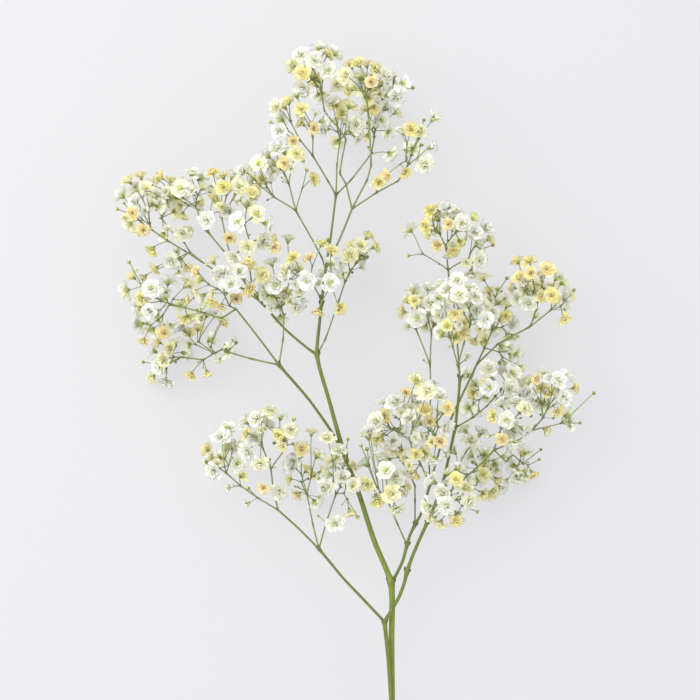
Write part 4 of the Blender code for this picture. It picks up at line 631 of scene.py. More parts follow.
        # A twig goes on roughly the way the one before it came, and doesn't fold back
        inner = self.parent[self.near] >= 0
        twigs, hubs = self.far[inner], self.near[inner]
        into, onward = self.now[hubs] - self.now[self.parent[hubs]], self.now[twigs] - self.now[hubs]
        li, lo = lengths(into) + NEAR_ZERO, lengths(onward) + NEAR_ZERO
        lack = np.clip(TURN_LEAST - dots(into, onward) / (li * lo), 0.0, 1.0)
        aim = onward / lo[:, None] + into / li[:, None] * lack[:, None]
        aim = aim / np.maximum(lengths(aim), NEAR_ZERO)[:, None]
        push = (aim * lo[:, None] - onward) * TURN_SHARE
        np.add.at(move, twigs, push)
        np.add.at(move, hubs, -0.5 * push)


def relax(tree, paths):
    # Blooms, twigs and the fused stems are pushed clear of each other, mostly in depth
    web = Web(tree, paths)
    start = web.now.copy()
    for turn in range(RELAX_ROUNDS):
        if turn % PAIRS_EVERY == 0:
            web.find_pairs()
        move = np.zeros_like(web.now)
        for push in (web.part_heads, web.part_heads_and_twigs, web.part_twigs, web.part_from_stems,
                     web.open_forks, web.lengthen_twigs, web.straighten_twigs):
            push(move)
        limit = np.minimum(1.0, LONGEST_MOVE / np.maximum(lengths(move), NEAR_ZERO))
        move = move * limit[:, None] * MOVE_WEIGHTS
        if turn < RELAX_ROUNDS * 0.7:
            move = move + (start - web.now) * PULL_BACK
        web.now = web.now + np.where(web.fixed[:, None], 0.0, move)
        height = web.now[:, 2]
        web.now[:, 2] = np.where(web.fixed, height, np.maximum(height, web.lowest))
    tree.place = list(web.now)


def bloom_facings(tree):
    # A bloom faces along its stalk, turned towards the outside of the head and a little upwards
    facing = {}
    places = np.array(tree.place)
    middles = {}
    for name in SPRAYS:
        members = [i for i, kind in enumerate(tree.kind) if tree.spray[i] == name and kind == "bloom"]
        middles[name] = places[members].mean(axis=0)
    for i, kind in enumerate(tree.kind):
        if kind not in ("bloom", "bud"):
            continue
        stalk = unit(places[i] - places[tree.parent[i]])
        if kind == "bud":
            facing[i] = unit(stalk)
            continue
        outward = unit(places[i] - middles[tree.spray[i]] + OUTSIDE)
        mixed = stalk + OUTWARD_SHARE * outward + UPWARD
        if places[i][2] < LEVEL_HEIGHT:
            mixed[2] = max(mixed[2], 0.0)
        mixed = unit(mixed)
        while float(mixed @ stalk) < LEAST_ALONG_STALK:
            mixed = unit(mixed + 0.15 * stalk)
        facing[i] = mixed
        if places[i][2] < FOOT_HEIGHT:
            # The lowest blooms are set down so that their petals just touch the surface
            tilt = math.sqrt(max(0.0, 1.0 - mixed[2] * mixed[2]))
            places[i][2] = BLOOM_RADIUS * 0.95 * tilt + 0.2 * mixed[2]
            tree.place[i] = places[i]
    return facing


def frame_across(axis, hint):
    # Two directions square to the axis, the first of them towards the hint
    side = hint - axis * float(hint @ axis)
    if np.linalg.norm(side) < NEAR_ZERO:
        other = np.roll(axis, -1)
        side = other - axis * float(other @ axis)
    side = unit(side)
    return side, np.cross(axis, side)


# The look, in metres from the frame's origin
MM = 0.001
# The settled part's shift, in millimetres, as the solids have it
SHIFT = np.array((3.295, -85.699, 0.0))

# Real sizes of the fine patterns, in millimetres
PETAL_BLOTCH = 2.4
PETAL_VEIN = 1.1
PETAL_RUFFLE = 1.6
STALK_STREAK = 1.1
CALYX_BLOTCH = 1.4
# Depth of the bump on petals and stalks, in metres
BUMP_DEPTH = 0.0002

# The finishes of a bloom's parts, in the order of their numbers
FINISHES = ("petal", "calyx", "eye", "scale")
# The turn from one petal to the next, and about half a turn and a full one, in radians
GOLDEN_ANGLE = 2.39996
HALF_TURN = 3.14
FULL_TURN = 6.28

# Widths in millimetres at which a stalk starts to look older, and what it adds until it is old
YOUNG_WIDTH = 0.25
AGED_BY = 1.5

# Open, green-eyed, cupped, ruffled and crumpled blooms: number of petals, outer and inner petal length
# in millimetres, outer and inner rise, ruffle in millimetres, radius of the eye
BLOOM_FORMS = (
    (22, 5.6, 3.6, -0.1, 1.15, 3.12, 0.72),
    (18, 5.9, 3.2, -0.05, 0.85, 2.64, 0.85),
    (21, 5.4, 3.8, 0.3, 1.25, 2.88, 0.66),
    (23, 5.5, 3.6, -0.2, 1.15, 3.6, 0.7),
    (20, 5.0, 3.4, 0.05, 1.2, 3.84, 0.62),
)
FORM_BUD = len(BLOOM_FORMS)
FORM_SCALE = FORM_BUD + 1
PETAL_FOOT = 1.1
CALYX_HEIGHT = 2.2
EYE_LIFT = 0.8
# How warm each petal colour is, the bloom forms that it takes and its blooms' size
WARMTH = {W: 0.0, C: 0.34, Y: 0.67, A: 1.0}
FORM_CHOICE = {W: (0, 1, 3, 0, 2), C: (0, 3, 2, 1), Y: (2, 4, 3, 0), A: (4, 2, 4, 3)}
FORM_SIZE = {W: 1.2, C: 1.12, Y: 1.0, A: 0.94}
BUD_WARMTH = 0.2

# Twigs: steps of their bends, how far a stalk reaches into its calyx, radii in millimetres
TWIG_STEPS = 5
STALK_SUNK = 0.2
TWIG_THIN = 0.27
TWIG_THICKENING = 0.05
TWIG_THICK = 0.5
# How far from its joint a twig is swollen, in millimetres
SWELL_REACH = 0.9
# Late stalks: radii along them, and how dry their joints are
LATE_WIDTHS = (0.24, 0.2, 0.19, 0.2)
LATE_JOINTS = (0.5, 0.1, 0.0, 0.0)
LATE_COUNTS = (0, 1, 1, 2, 2)
LATE_FORMS = (0, 2, 3)
# The fused stems: steps of their bends, reach of their joints in millimetres, sides of their tubes
STEM_STEPS = 7
JOINT_REACH = 1.1
STEM_SIDES = 12
TWIG_SIDES = 6
PITH_SIDES = 16
# The lowest that anything reaches, in metres
LEAST_HEIGHT = 0.0002

# Half the side of the surface, in metres, and the point that the lamp is aimed at
SURFACE_HALF = 4.0
LIT_POINT = Vector((0.0, 0.0, 0.06))


def settled(point):
    return (np.array(point) - SHIFT) * MM


def per_metre(size):
    # The scale at which a noise pattern has features of this many millimetres
    return 1.0 / (size * MM)


def linear(code):
    # A colour written as sRGB hex, turned to the linear values that materials take
    values = []
    for start in (0, 2, 4):
        value = int(code[start:start + 2], 16) / 255.0
        values.append(value / 12.92 if value <= 0.04045 else ((value + 0.055) / 1.055) ** 2.4)
    return (values[0], values[1], values[2], 1.0)


def feed(tree, node, feeds):
    # Feeds a node's sockets with values, links or other nodes' first outputs
    for key, value in feeds.items():
        if isinstance(value, bpy.types.Node):
            value = value.outputs[0]
        if isinstance(value, bpy.types.NodeSocket):
            tree.links.new(value, node.inputs[key])
        else:
            node.inputs[key].default_value = value


def put(tree, kind, settings=None, feeds=None):
    # Adds one node with its settings and what feeds it
    node = tree.nodes.new(kind)
    for key, value in (settings or {}).items():
        setattr(node, key, value)
    feed(tree, node, feeds or {})
    return node


def ramp(node, stops):
    # Sets the stops of a colour ramp: place along it and colour
    elements = node.color_ramp.elements
    while len(elements) > 1:
        elements.remove(elements[-1])
    elements[0].position = stops[0][0]
    elements[0].color = linear(stops[0][1])
    for along, code in stops[1:]:
        elements.new(along).color = linear(code)
    return node


def new_material(name):
    material = bpy.data.materials.new(name)
    material.use_nodes = True
    return material, material.node_tree, material.node_tree.nodes["Principled BSDF"]


def petal_material():
    # Fresh petals of a double gypsophila: matt and chalky, paler at the tips, with light passing through
    material, tree, shader = new_material("gypsophila petal")
    warmth, reach, shade = (put(tree, "ShaderNodeAttribute", {"attribute_name": label}).outputs["Fac"]
                            for label in ("warmth", "reach", "shade"))
    tips = ramp(put(tree, "ShaderNodeValToRGB", {}, {"Fac": warmth}),
                ((0.0, "F5F5F1"), (0.34, "F6F5DE"), (0.67, "F4EFAF"), (1.0, "F7EAB7")))
    hearts = ramp(put(tree, "ShaderNodeValToRGB", {}, {"Fac": warmth}),
                  ((0.0, "DDE896"), (0.34, "E1E27F"), (0.67, "E6D657"), (1.0, "EEC45A")))
    spread = put(tree, "ShaderNodeMapRange", {"interpolation_type": "SMOOTHSTEP"},
                 {"Value": reach, "From Min": 0.1, "From Max": 0.72})
    whole_petal = put(tree, "ShaderNodeMix", {"data_type": "RGBA"}, {0: spread, 6: hearts, 7: tips})
    coordinates = put(tree, "ShaderNodeTexCoord").outputs["Object"]
    blotch = put(tree, "ShaderNodeTexNoise", {},
                 {"Vector": coordinates, "Scale": per_metre(PETAL_BLOTCH), "Detail": 2.0})
    mottled = put(tree, "ShaderNodeMapRange", {},
                  {"Value": blotch, "From Min": 0.3, "From Max": 0.7, "To Min": 0.94, "To Max": 1.03})
    bright = put(tree, "ShaderNodeMath", {"operation": "MULTIPLY"}, {0: mottled, 1: shade})
    toned = put(tree, "ShaderNodeVectorMath", {"operation": "SCALE"},
                {0: whole_petal.outputs[2], "Scale": bright})
    veins = put(tree, "ShaderNodeTexNoise", {},
                {"Vector": coordinates, "Scale": per_metre(PETAL_VEIN), "Detail": 3.0})
    bump = put(tree, "ShaderNodeBump", {}, {"Strength": 0.15, "Distance": BUMP_DEPTH, "Height": veins})
    feed(tree, shader, {"Base Color": toned, "Normal": bump, "Roughness": 0.62, "Specular IOR Level": 0.3,
                        "Subsurface Weight": 1.0, "Subsurface Radius": (0.0032, 0.0031, 0.0027),
                        "Subsurface Scale": 1.0})
    return material


def stalk_material():
    # Waxy green stalks: thick stems are yellow olive, hair-thin ones greyer, joints dry to brown
    material, tree, shader = new_material("gypsophila stalk")
    age, joint = (put(tree, "ShaderNodeAttribute", {"attribute_name": label}).outputs["Fac"]
                  for label in ("age", "joint"))
    skin = ramp(put(tree, "ShaderNodeValToRGB", {}, {"Fac": age}),
                ((0.0, "808C56"), (0.18, "707D45"), (0.36, "5C6A2C"), (0.7, "626F29"), (1.0, "6E7E2F")))
    coordinates = put(tree, "ShaderNodeTexCoord").outputs["Object"]
    stretched = put(tree, "ShaderNodeMapping", {}, {"Vector": coordinates, "Scale": (1.0, 0.12, 1.0)})
    streaks = put(tree, "ShaderNodeTexNoise", {},
                  {"Vector": stretched, "Scale": per_metre(STALK_STREAK), "Detail": 3.0})
    lighter = put(tree, "ShaderNodeMapRange", {},
                  {"Value": streaks, "From Min": 0.3, "From Max": 0.7, "To Min": 0.8, "To Max": 1.18})
    toned = put(tree, "ShaderNodeVectorMath", {"operation": "SCALE"}, {0: skin, "Scale": lighter})
    brown = put(tree, "ShaderNodeMix", {"data_type": "RGBA"}, {0: joint, 6: toned, 7: linear("5B5A34")})
    bump = put(tree, "ShaderNodeBump", {}, {"Strength": 0.35, "Distance": BUMP_DEPTH, "Height": streaks})
    feed(tree, shader, {"Base Color": brown.outputs[2], "Normal": bump, "Roughness": 0.48,
                        "Specular IOR Level": 0.4})
    return material


def ramped_material(name, attribute, stops, roughness):
    # A skin whose colour follows one value of its points
    material, tree, shader = new_material(name)
    along = put(tree, "ShaderNodeAttribute", {"attribute_name": attribute}).outputs["Fac"]
    skin = ramp(put(tree, "ShaderNodeValToRGB", {}, {"Fac": along}), stops)
    feed(tree, shader, {"Base Color": skin, "Roughness": roughness})
    return material, tree, shader, skin


def calyx_material():
    # Small green bells with pale dry edges, under each bloom and round each bud
    material, tree, shader, skin = ramped_material("gypsophila calyx", "reach", (
        (0.0, "626C34"), (0.55, "868F48"), (0.85, "AEB568"), (1.0, "D8DAA4")), 0.55)
    coordinates = put(tree, "ShaderNodeTexCoord").outputs["Object"]
    blotch = put(tree, "ShaderNodeTexNoise", {},
                 {"Vector": coordinates, "Scale": per_metre(CALYX_BLOTCH), "Detail": 2.0})
    lighter = put(tree, "ShaderNodeMapRange", {}, {"Value": blotch, "To Min": 0.75, "To Max": 1.25})
    toned = put(tree, "ShaderNodeVectorMath", {"operation": "SCALE"}, {0: skin, "Scale": lighter})
    feed(tree, shader, {"Base Color": toned})
    return material


def scale_material():
    # Papery scale leaves at the joints, dried to a dark purplish brown at their points
    return ramped_material("dry scale leaf", "reach", (
        (0.0, "6F7440"), (0.45, "5A4F34"), (1.0, "3E3328")), 0.7)[0]


def eye_material():
    # The moist eye in the middle of an open bloom, green in white blooms and amber in warm ones
    return ramped_material("gypsophila eye", "warmth", (
        (0.0, "9DBB3C"), (0.34, "B4BE52"), (0.67, "C9A23A"), (1.0, "B97A2C")), 0.45)[0]


def pith_material():
    # The freshly cut stem: moist pale green
    material, tree, shader = new_material("cut pith")
    feed(tree, shader, {"Base Color": linear("C9D3A0"), "Roughness": 0.4})
    return material


def store(mesh, name, values, kind="FLOAT"):
    # Gives every point of a mesh its own value
    attribute = mesh.attributes.new(name, kind, "POINT")
    numbers = np.array(values, dtype=np.int32 if kind == "INT" else np.float32)
    attribute.data.foreach_set("vector" if kind == "FLOAT_VECTOR" else "value", numbers.ravel())


def marked(mesh, finish, reach):
    # The points of a form know how far out they are and the number of their finish
    store(mesh, "reach", reach)
    store(mesh, "finish", [FINISHES.index(finish)] * len(mesh.vertices), "INT")
    return mesh


def form_mesh(name, finish, points, faces, reach):
    mesh = bpy.data.meshes.new(name)
    mesh.from_pydata(points, [], faces)
    return marked(mesh, finish, reach)


def petal_mesh():
    # A spoon-shaped petal with a shallow notch, along X, one unit long, hollow side up
    columns, rows = 5, 5
    points, reach = [], []
    for i in range(rows):
        v = (i / (rows - 1.0)) ** 0.85
        half = 0.08 + 0.32 * math.sin(min(v, 1.0) * math.pi * 0.56) ** 1.3
        for j in range(columns):
            u = 2.0 * j / (columns - 1.0) - 1.0
            tip = 1.0 - 0.16 * u * u * v ** 2 - 0.07 * (1.0 - abs(u)) * v ** 4
            points.append((v * tip, u * half, 0.10 * v * v + 0.10 * u * u * v))
            reach.append(v)
    corners = [i * columns + j for i in range(rows - 1) for j in range(columns - 1)]
    faces = [(k, k + columns, k + columns + 1, k + 1) for k in corners]
    return form_mesh("petal", "petal", points, faces, reach)


def ringed(profile, rib=0.0, teeth=(0.0, 0.0)):
    # Rings of ten points, from heights and radii. Every other point stands out by the rib, and the
    # points of the last ring are lifted by the two teeth in turn.
    points, faces = [], []
    for i, (height, radius) in enumerate(profile):
        for j in range(10):
            angle = j * math.pi / 5.0
            wide = radius * (1.0 + (-rib if j % 2 else rib))
            tooth = teeth[j % 2] if i == len(profile) - 1 else 0.0
            points.append((wide * math.cos(angle), wide * math.sin(angle), height + tooth))
    for i in range(len(profile) - 1):
        for j in range(10):
            a, b = i * 10 + j, i * 10 + (j + 1) % 10
            faces.append((a, b, b + 10, a + 10))
    return points, faces


def calyx_mesh():
    # A five-toothed bell, its foot at the origin, one unit high
    profile = ((0.0, 0.16), (0.25, 0.34), (0.62, 0.52), (1.0, 0.66))
    points, faces = ringed(profile, teeth=(0.12, -0.22))
    return form_mesh("calyx", "calyx", points, faces, [height for height, _ in profile for _ in range(10)])


def bud_mesh():
    # A closed bud, five-ribbed and pale at its point
    profile = ((-0.98, 0.28), (-0.7, 0.72), (-0.15, 1.0), (0.45, 0.86), (0.95, 0.5), (1.25, 0.16))
    points, faces = ringed(profile, rib=0.06)
    top = len(points) - 10
    faces += [tuple(range(9, -1, -1)), tuple(range(top, top + 10))]
    return form_mesh("bud", "calyx", points, faces, [(p[2] + 1.0) / 2.3 for p in points])


def scale_mesh():
    # A small keeled scale leaf, its foot at the origin, one unit long along Z
    points = ((-0.2, 0.0, 0.0), (0.0, -0.08, 0.0), (0.2, 0.0, 0.0), (-0.26, 0.08, 0.4), (0.0, -0.04, 0.42),
              (0.26, 0.08, 0.4), (0.0, 0.1, 1.0), (0.0, 0.1, 0.0), (0.0, 0.14, 0.4))
    faces = ((0, 1, 4, 3), (1, 2, 5, 4), (3, 4, 6), (4, 5, 6), (2, 7, 8, 5), (7, 0, 3, 8), (5, 8, 6),
             (8, 3, 6), (0, 7, 2, 1))
    return form_mesh("scale", "scale", points, faces, [p[2] for p in points])


def eye_mesh(radius):
    shape = bmesh.new()
    bmesh.ops.create_icosphere(shape, subdivisions=1, radius=radius)
    mesh = bpy.data.meshes.new("eye")
    shape.to_mesh(mesh)
    shape.free()
    return marked(mesh, "eye", [0.5] * len(mesh.vertices))


def fitted(mesh, size, lift):
    # A form is scaled, lifted and smoothed
    for vertex in mesh.vertices:
        vertex.co = vertex.co * size
        vertex.co.z += lift
    for polygon in mesh.polygons:
        polygon.use_smooth = True
    return mesh


def new_tree(name, inputs):
    # A geometry tree with a mesh coming in, its named inputs and their defaults
    tree = bpy.data.node_groups.new(name, "GeometryNodeTree")
    for way in ("INPUT", "OUTPUT"):
        tree.interface.new_socket("Geometry", in_out=way, socket_type="NodeSocketGeometry")
    for label, (kind, value) in inputs.items():
        socket = tree.interface.new_socket(label, in_out="INPUT", socket_type="NodeSocket" + kind)
        if value is not None:
            socket.default_value = value
    return tree, put(tree, "NodeGroupInput").outputs


def rosette_tree():
    # Petals set on a golden-angle spiral: the outer ones long and flat, the inner short and upright
    tree, entry = new_tree("double bloom rosette", {
        "Petal": ("Object", None), "Petals": ("Int", 17), "Length": ("Float", 0.0049),
        "Inner Length": ("Float", 0.0026), "Outer Rise": ("Float", 0.25), "Inner Rise": ("Float", 1.25),
        "Ruffle": ("Float", 0.0012), "Seed": ("Int", 1), "Material": ("Material", None)})
    line = put(tree, "GeometryNodeMeshLine", {}, {"Count": entry["Petals"], "Offset": (0.0, 0.0, 0.0)})
    index = put(tree, "GeometryNodeInputIndex")
    last = put(tree, "ShaderNodeMath", {"operation": "SUBTRACT"}, {0: entry["Petals"], 1: 1.0})
    share = put(tree, "ShaderNodeMath", {"operation": "DIVIDE"}, {0: index, 1: last})
    jitter = put(tree, "FunctionNodeRandomValue", {"data_type": "FLOAT"},
                 {2: -0.22, 3: 0.22, "Seed": entry["Seed"]}).outputs[1]
    turn = put(tree, "ShaderNodeMath", {"operation": "MULTIPLY_ADD"}, {0: index, 1: GOLDEN_ANGLE, 2: jitter})
    rise = put(tree, "ShaderNodeMapRange", {},
               {"Value": share, "To Min": entry["Outer Rise"], "To Max": entry["Inner Rise"]})
    lift = put(tree, "ShaderNodeMath", {"operation": "MULTIPLY_ADD"}, {0: jitter, 1: 0.9, 2: rise})
    down = put(tree, "ShaderNodeMath", {"operation": "MULTIPLY"}, {0: lift, 1: -1.0})
    turned = put(tree, "ShaderNodeCombineXYZ", {}, {"Y": down, "Z": turn})
    length = put(tree, "ShaderNodeMapRange", {},
                 {"Value": share, "To Min": entry["Length"], "To Max": entry["Inner Length"]})
    size = put(tree, "ShaderNodeCombineXYZ", {}, {"X": length, "Y": length, "Z": length})
    petal = put(tree, "GeometryNodeObjectInfo", {}, {"Object": entry["Petal"]}).outputs["Geometry"]
    placed = put(tree, "GeometryNodeInstanceOnPoints", {},
                 {"Points": line, "Instance": petal, "Rotation": turned, "Scale": size})
    real = put(tree, "GeometryNodeRealizeInstances", {}, {"Geometry": placed})
    # The petals' tips ruffle more than their feet
    where = put(tree, "GeometryNodeInputPosition")
    noise = put(tree, "ShaderNodeTexNoise", {"noise_dimensions": "4D"},
                {"Vector": where, "W": entry["Seed"], "Scale": per_metre(PETAL_RUFFLE), "Detail": 2.0})
    centred = put(tree, "ShaderNodeVectorMath", {"operation": "SUBTRACT"},
                  {0: noise.outputs["Color"], 1: (0.5, 0.5, 0.5)})
    reach = put(tree, "GeometryNodeInputNamedAttribute", {"data_type": "FLOAT"}, {"Name": "reach"})
    edge = put(tree, "ShaderNodeMath", {"operation": "MULTIPLY"}, {0: reach, 1: reach})
    amount = put(tree, "ShaderNodeMath", {"operation": "MULTIPLY"}, {0: edge, 1: entry["Ruffle"]})
    push = put(tree, "ShaderNodeVectorMath", {"operation": "SCALE"}, {0: centred, "Scale": amount})
    ruffled = put(tree, "GeometryNodeSetPosition", {}, {"Geometry": real, "Offset": push})
    smooth = put(tree, "GeometryNodeSetShadeSmooth", {}, {"Geometry": ruffled})
    rosette = put(tree, "GeometryNodeRealizeInstances", {}, {"Geometry": smooth})
    finished = put(tree, "GeometryNodeSetMaterial", {}, {"Geometry": rosette, "Material": entry["Material"]})
    put(tree, "NodeGroupOutput", {}, {"Geometry": finished})
    return tree


def scatter_tree():
    # Copies of the numbered forms stand on the points, facing along the points' own directions
    inputs = {"Forms": ("Collection", None), "Size": ("Float", 1.0)}
    inputs.update({label: ("Material", None) for label in FINISHES})
    tree, entry = new_tree("blooms on their stalks", inputs)
    forms = put(tree, "GeometryNodeCollectionInfo", {},
                {"Collection": entry["Forms"], "Separate Children": True, "Reset Children": True})
    own = {}
    for label, kind in (("face", "FLOAT_VECTOR"), ("spin", "FLOAT"), ("size", "FLOAT"), ("form", "INT"),
                        ("finish", "INT")):
        own[label] = put(tree, "GeometryNodeInputNamedAttribute", {"data_type": kind}, {"Name": label})
    aim = put(tree, "FunctionNodeAlignRotationToVector", {"axis": "Z"}, {"Vector": own["face"]})
    about = put(tree, "FunctionNodeAxisAngleToRotation", {}, {"Axis": (0.0, 0.0, 1.0), "Angle": own["spin"]})
    turned = put(tree, "FunctionNodeRotateRotation", {"rotation_space": "LOCAL"},
                 {"Rotation": aim, "Rotate By": about})
    size = put(tree, "ShaderNodeMath", {"operation": "MULTIPLY"}, {0: own["size"], 1: entry["Size"]})
    sizes = put(tree, "ShaderNodeCombineXYZ", {}, {"X": size, "Y": size, "Z": size})
    placed = put(tree, "GeometryNodeInstanceOnPoints", {},
                 {"Points": entry["Geometry"], "Instance": forms, "Pick Instance": True,
                  "Instance Index": own["form"], "Rotation": turned, "Scale": sizes})
    finished = put(tree, "GeometryNodeRealizeInstances", {}, {"Geometry": placed})
    for number, label in enumerate(FINISHES):
        chosen = put(tree, "FunctionNodeCompare", {"data_type": "INT", "operation": "EQUAL"},
                     {2: own["finish"], 3: number})
        finished = put(tree, "GeometryNodeSetMaterial", {},
                       {"Geometry": finished, "Selection": chosen, "Material": entry[label]})
    put(tree, "NodeGroupOutput", {}, {"Geometry": finished})
    return tree


def stalk_tree():
    # Round stalks along the edges of a mesh, as thick as its points say
    tree, entry = new_tree("stalks along their paths", {
        "Sides": ("Int", 6), "Thickness": ("Float", 1.0), "Material": ("Material", None)})
    path = put(tree, "GeometryNodeMeshToCurve", {}, {"Mesh": entry["Geometry"]})
    outline = put(tree, "GeometryNodeCurvePrimitiveCircle", {}, {"Resolution": entry["Sides"], "Radius": 1.0})
    own_width = put(tree, "GeometryNodeInputNamedAttribute", {"data_type": "FLOAT"}, {"Name": "width"})
    width = put(tree, "ShaderNodeMath", {"operation": "MULTIPLY"}, {0: own_width, 1: entry["Thickness"]})
    tube = put(tree, "GeometryNodeCurveToMesh", {},
               {"Curve": path, "Profile Curve": outline, "Scale": width, "Fill Caps": True})
    smooth = put(tree, "GeometryNodeSetShadeSmooth", {}, {"Geometry": tube})
    stalks = put(tree, "GeometryNodeRealizeInstances", {}, {"Geometry": smooth})
    finished = put(tree, "GeometryNodeSetMaterial", {}, {"Geometry": stalks, "Material": entry["Material"]})
    put(tree, "NodeGroupOutput", {}, {"Geometry": finished})
    return tree


def grown(name, mesh, tree, values):
    # Runs a tree on a mesh, with its inputs set by identifier, and gives back a plain mesh
    holder = bpy.data.objects.new(name, mesh)
    bpy.context.scene.collection.objects.link(holder)
    modifier = holder.modifiers.new("shape", "NODES")
    modifier.node_group = tree
    for item in tree.interface.items_tree:
        if item.item_type == "SOCKET" and item.in_out == "INPUT" and item.name in values:
            modifier[item.identifier] = values[item.name]
    holder.update_tag()
    bpy.context.view_layer.update()
    graph = bpy.context.evaluated_depsgraph_get()
    result = bpy.data.meshes.new_from_object(holder.evaluated_get(graph), preserve_all_data_layers=True,
                                             depsgraph=graph)
    bpy.data.objects.remove(holder)
    return result


def joined(name, meshes):
    # Several meshes with their materials and attributes become one piece
    parts = [bpy.data.objects.new(name, mesh) for mesh in meshes]
    for part in parts:
        bpy.context.scene.collection.objects.link(part)
    with bpy.context.temp_override(active_object=parts[0], selected_objects=parts,
                                   selected_editable_objects=parts):
        bpy.ops.object.join()
    return parts[0]


def bend(first, last, start, end, steps):
    # A gently bent twig between two points, leaving and arriving in given directions
    length = np.linalg.norm(last - first)
    a, b = start * length, end * length
    points = []
    for step in range(steps + 1):
        t = step / steps
        h1 = 2 * t ** 3 - 3 * t ** 2 + 1
        h2 = t ** 3 - 2 * t ** 2 + t
        h3 = -2 * t ** 3 + 3 * t ** 2
        h4 = t ** 3 - t ** 2
        points.append(h1 * first + h2 * a + h3 * last + h4 * b)
    return points


class Paths:
    # Points, widths and shades of all the stalks of one piece
    def __init__(self):
        self.points, self.edges, self.width, self.age, self.joint = [], [], [], [], []

    def add(self, points, widths, joints):
        first = len(self.points)
        self.points.extend(settled(p) for p in points)
        self.edges.extend((first + k, first + k + 1) for k in range(len(points) - 1))
        self.width.extend(w * MM for w in widths)
        # The thicker a stalk is, the older it looks
        self.age.extend(min(1.0, max(0.0, (w - YOUNG_WIDTH) / AGED_BY)) for w in widths)
        self.joint.extend(joints)

    def mesh(self):
        mesh = bpy.data.meshes.new("stalks")
        mesh.from_pydata([tuple(p) for p in self.points], self.edges, [])
        for label in ("width", "age", "joint"):
            store(mesh, label, getattr(self, label))
        return mesh


class Spots:
    # Places where forms stand: bloom, bud or scale leaf, with direction, spin, size and tints
    def __init__(self):
        self.rows = []

    def add(self, point, face, spin, size, form, warmth=0.0, shade=1.0):
        self.rows.append((tuple(settled(point)), face, spin, size, form, warmth, shade))

    def mesh(self):
        mesh = bpy.data.meshes.new("heads")
        points, *columns = zip(*self.rows)
        mesh.from_pydata(points, [], [])
        kinds = {"face": "FLOAT_VECTOR", "form": "INT"}
        for label, values in zip(("face", "spin", "size", "form", "warmth", "shade"), columns):
            store(mesh, label, values, kinds.get(label, "FLOAT"))
        return mesh


def make_forms(skins):
    # One object for each bloom form, then the bud and the scale leaf, in the order of their numbers
    forms = bpy.data.collections.new("forms")
    petal = bpy.data.objects.new("petal", petal_mesh())
    rosette = rosette_tree()
    calyx = fitted(calyx_mesh(), CALYX_HEIGHT * MM, -BLOOM_DEPTH * MM)
    made = []
    for number, (petals, outer, inner, low, high, ruffle, eye) in enumerate(BLOOM_FORMS):
        rose = grown("rose", bpy.data.meshes.new("none"), rosette, {
            "Petal": petal, "Petals": petals, "Length": outer * MM, "Inner Length": inner * MM,
            "Outer Rise": low, "Inner Rise": high, "Ruffle": ruffle * MM, "Seed": 3 + number * 5,
            "Material": skins["petal"]})
        fitted(rose, 1.0, -PETAL_FOOT * MM)
        heart = fitted(eye_mesh(eye * MM), 1.0, EYE_LIFT * MM)
        form = joined("form", [rose, calyx.copy(), heart])
        bpy.context.scene.collection.objects.unlink(form)
        made.append(form)
    made.append(bpy.data.objects.new("form", fitted(bud_mesh(), BUD_RADIUS * MM, 0.0)))
    made.append(bpy.data.objects.new("form", fitted(scale_mesh(), MM, 0.0)))
    for number, form in enumerate(made):
        form.name = "form_%d" % number
        forms.objects.link(form)
    bpy.data.objects.remove(petal)
    return forms


def thin(leaves, node):
    # The more blooms a twig carries, the thicker it is
    return min(TWIG_THICK, TWIG_THIN + TWIG_THICKENING * math.sqrt(max(leaves[node] - 1, 0)))


def add_twig(paths, points, length, wide, narrow, flower):
    # A twig is swollen where it leaves its joint and, unless it ends in a flower, at its end
    widths, joints = [], []
    for step in range(TWIG_STEPS + 1):
        t = step / TWIG_STEPS
        width = min(wide, narrow * 1.12) * (1 - t) + narrow * t
        near = math.exp(-(t * length / SWELL_REACH) ** 2)
        close = math.exp(-((1 - t) * length / SWELL_REACH) ** 2)
        widths.append(width * (1.0 + (0.35 * near + (0.0 if flower else 0.4 * close))))
        joints.append(min(1.0, 0.65 * near + (0.1 if flower else 0.5) * close))
    paths.add(points, widths, joints)


def add_bloom(spots, rng, point, face, colour):
    form = rng.choice(FORM_CHOICE[colour])
    size = FORM_SIZE[colour] * rng.uniform(0.92, 1.06)
    warmth = min(1.0, max(0.0, WARMTH[colour] + rng.uniform(-0.02, 0.2)))
    spots.add(point, face, rng.uniform(0, FULL_TURN), size, form, warmth, rng.uniform(0.94, 1.03))


def add_joint(spots, rng, here, straight, side, up, narrow):
    # A pair of scale leaves on opposite sides of a fork
    turn = rng.uniform(0, HALF_TURN)
    for half in (0.0, math.pi):
        out = math.cos(turn + half) * side + math.sin(turn + half) * up
        spots.add(here + out * narrow * 0.8, unit(straight * 0.9 + out * 0.55), rng.uniform(0, FULL_TURN),
                  rng.uniform(1.3, 2.0), FORM_SCALE)


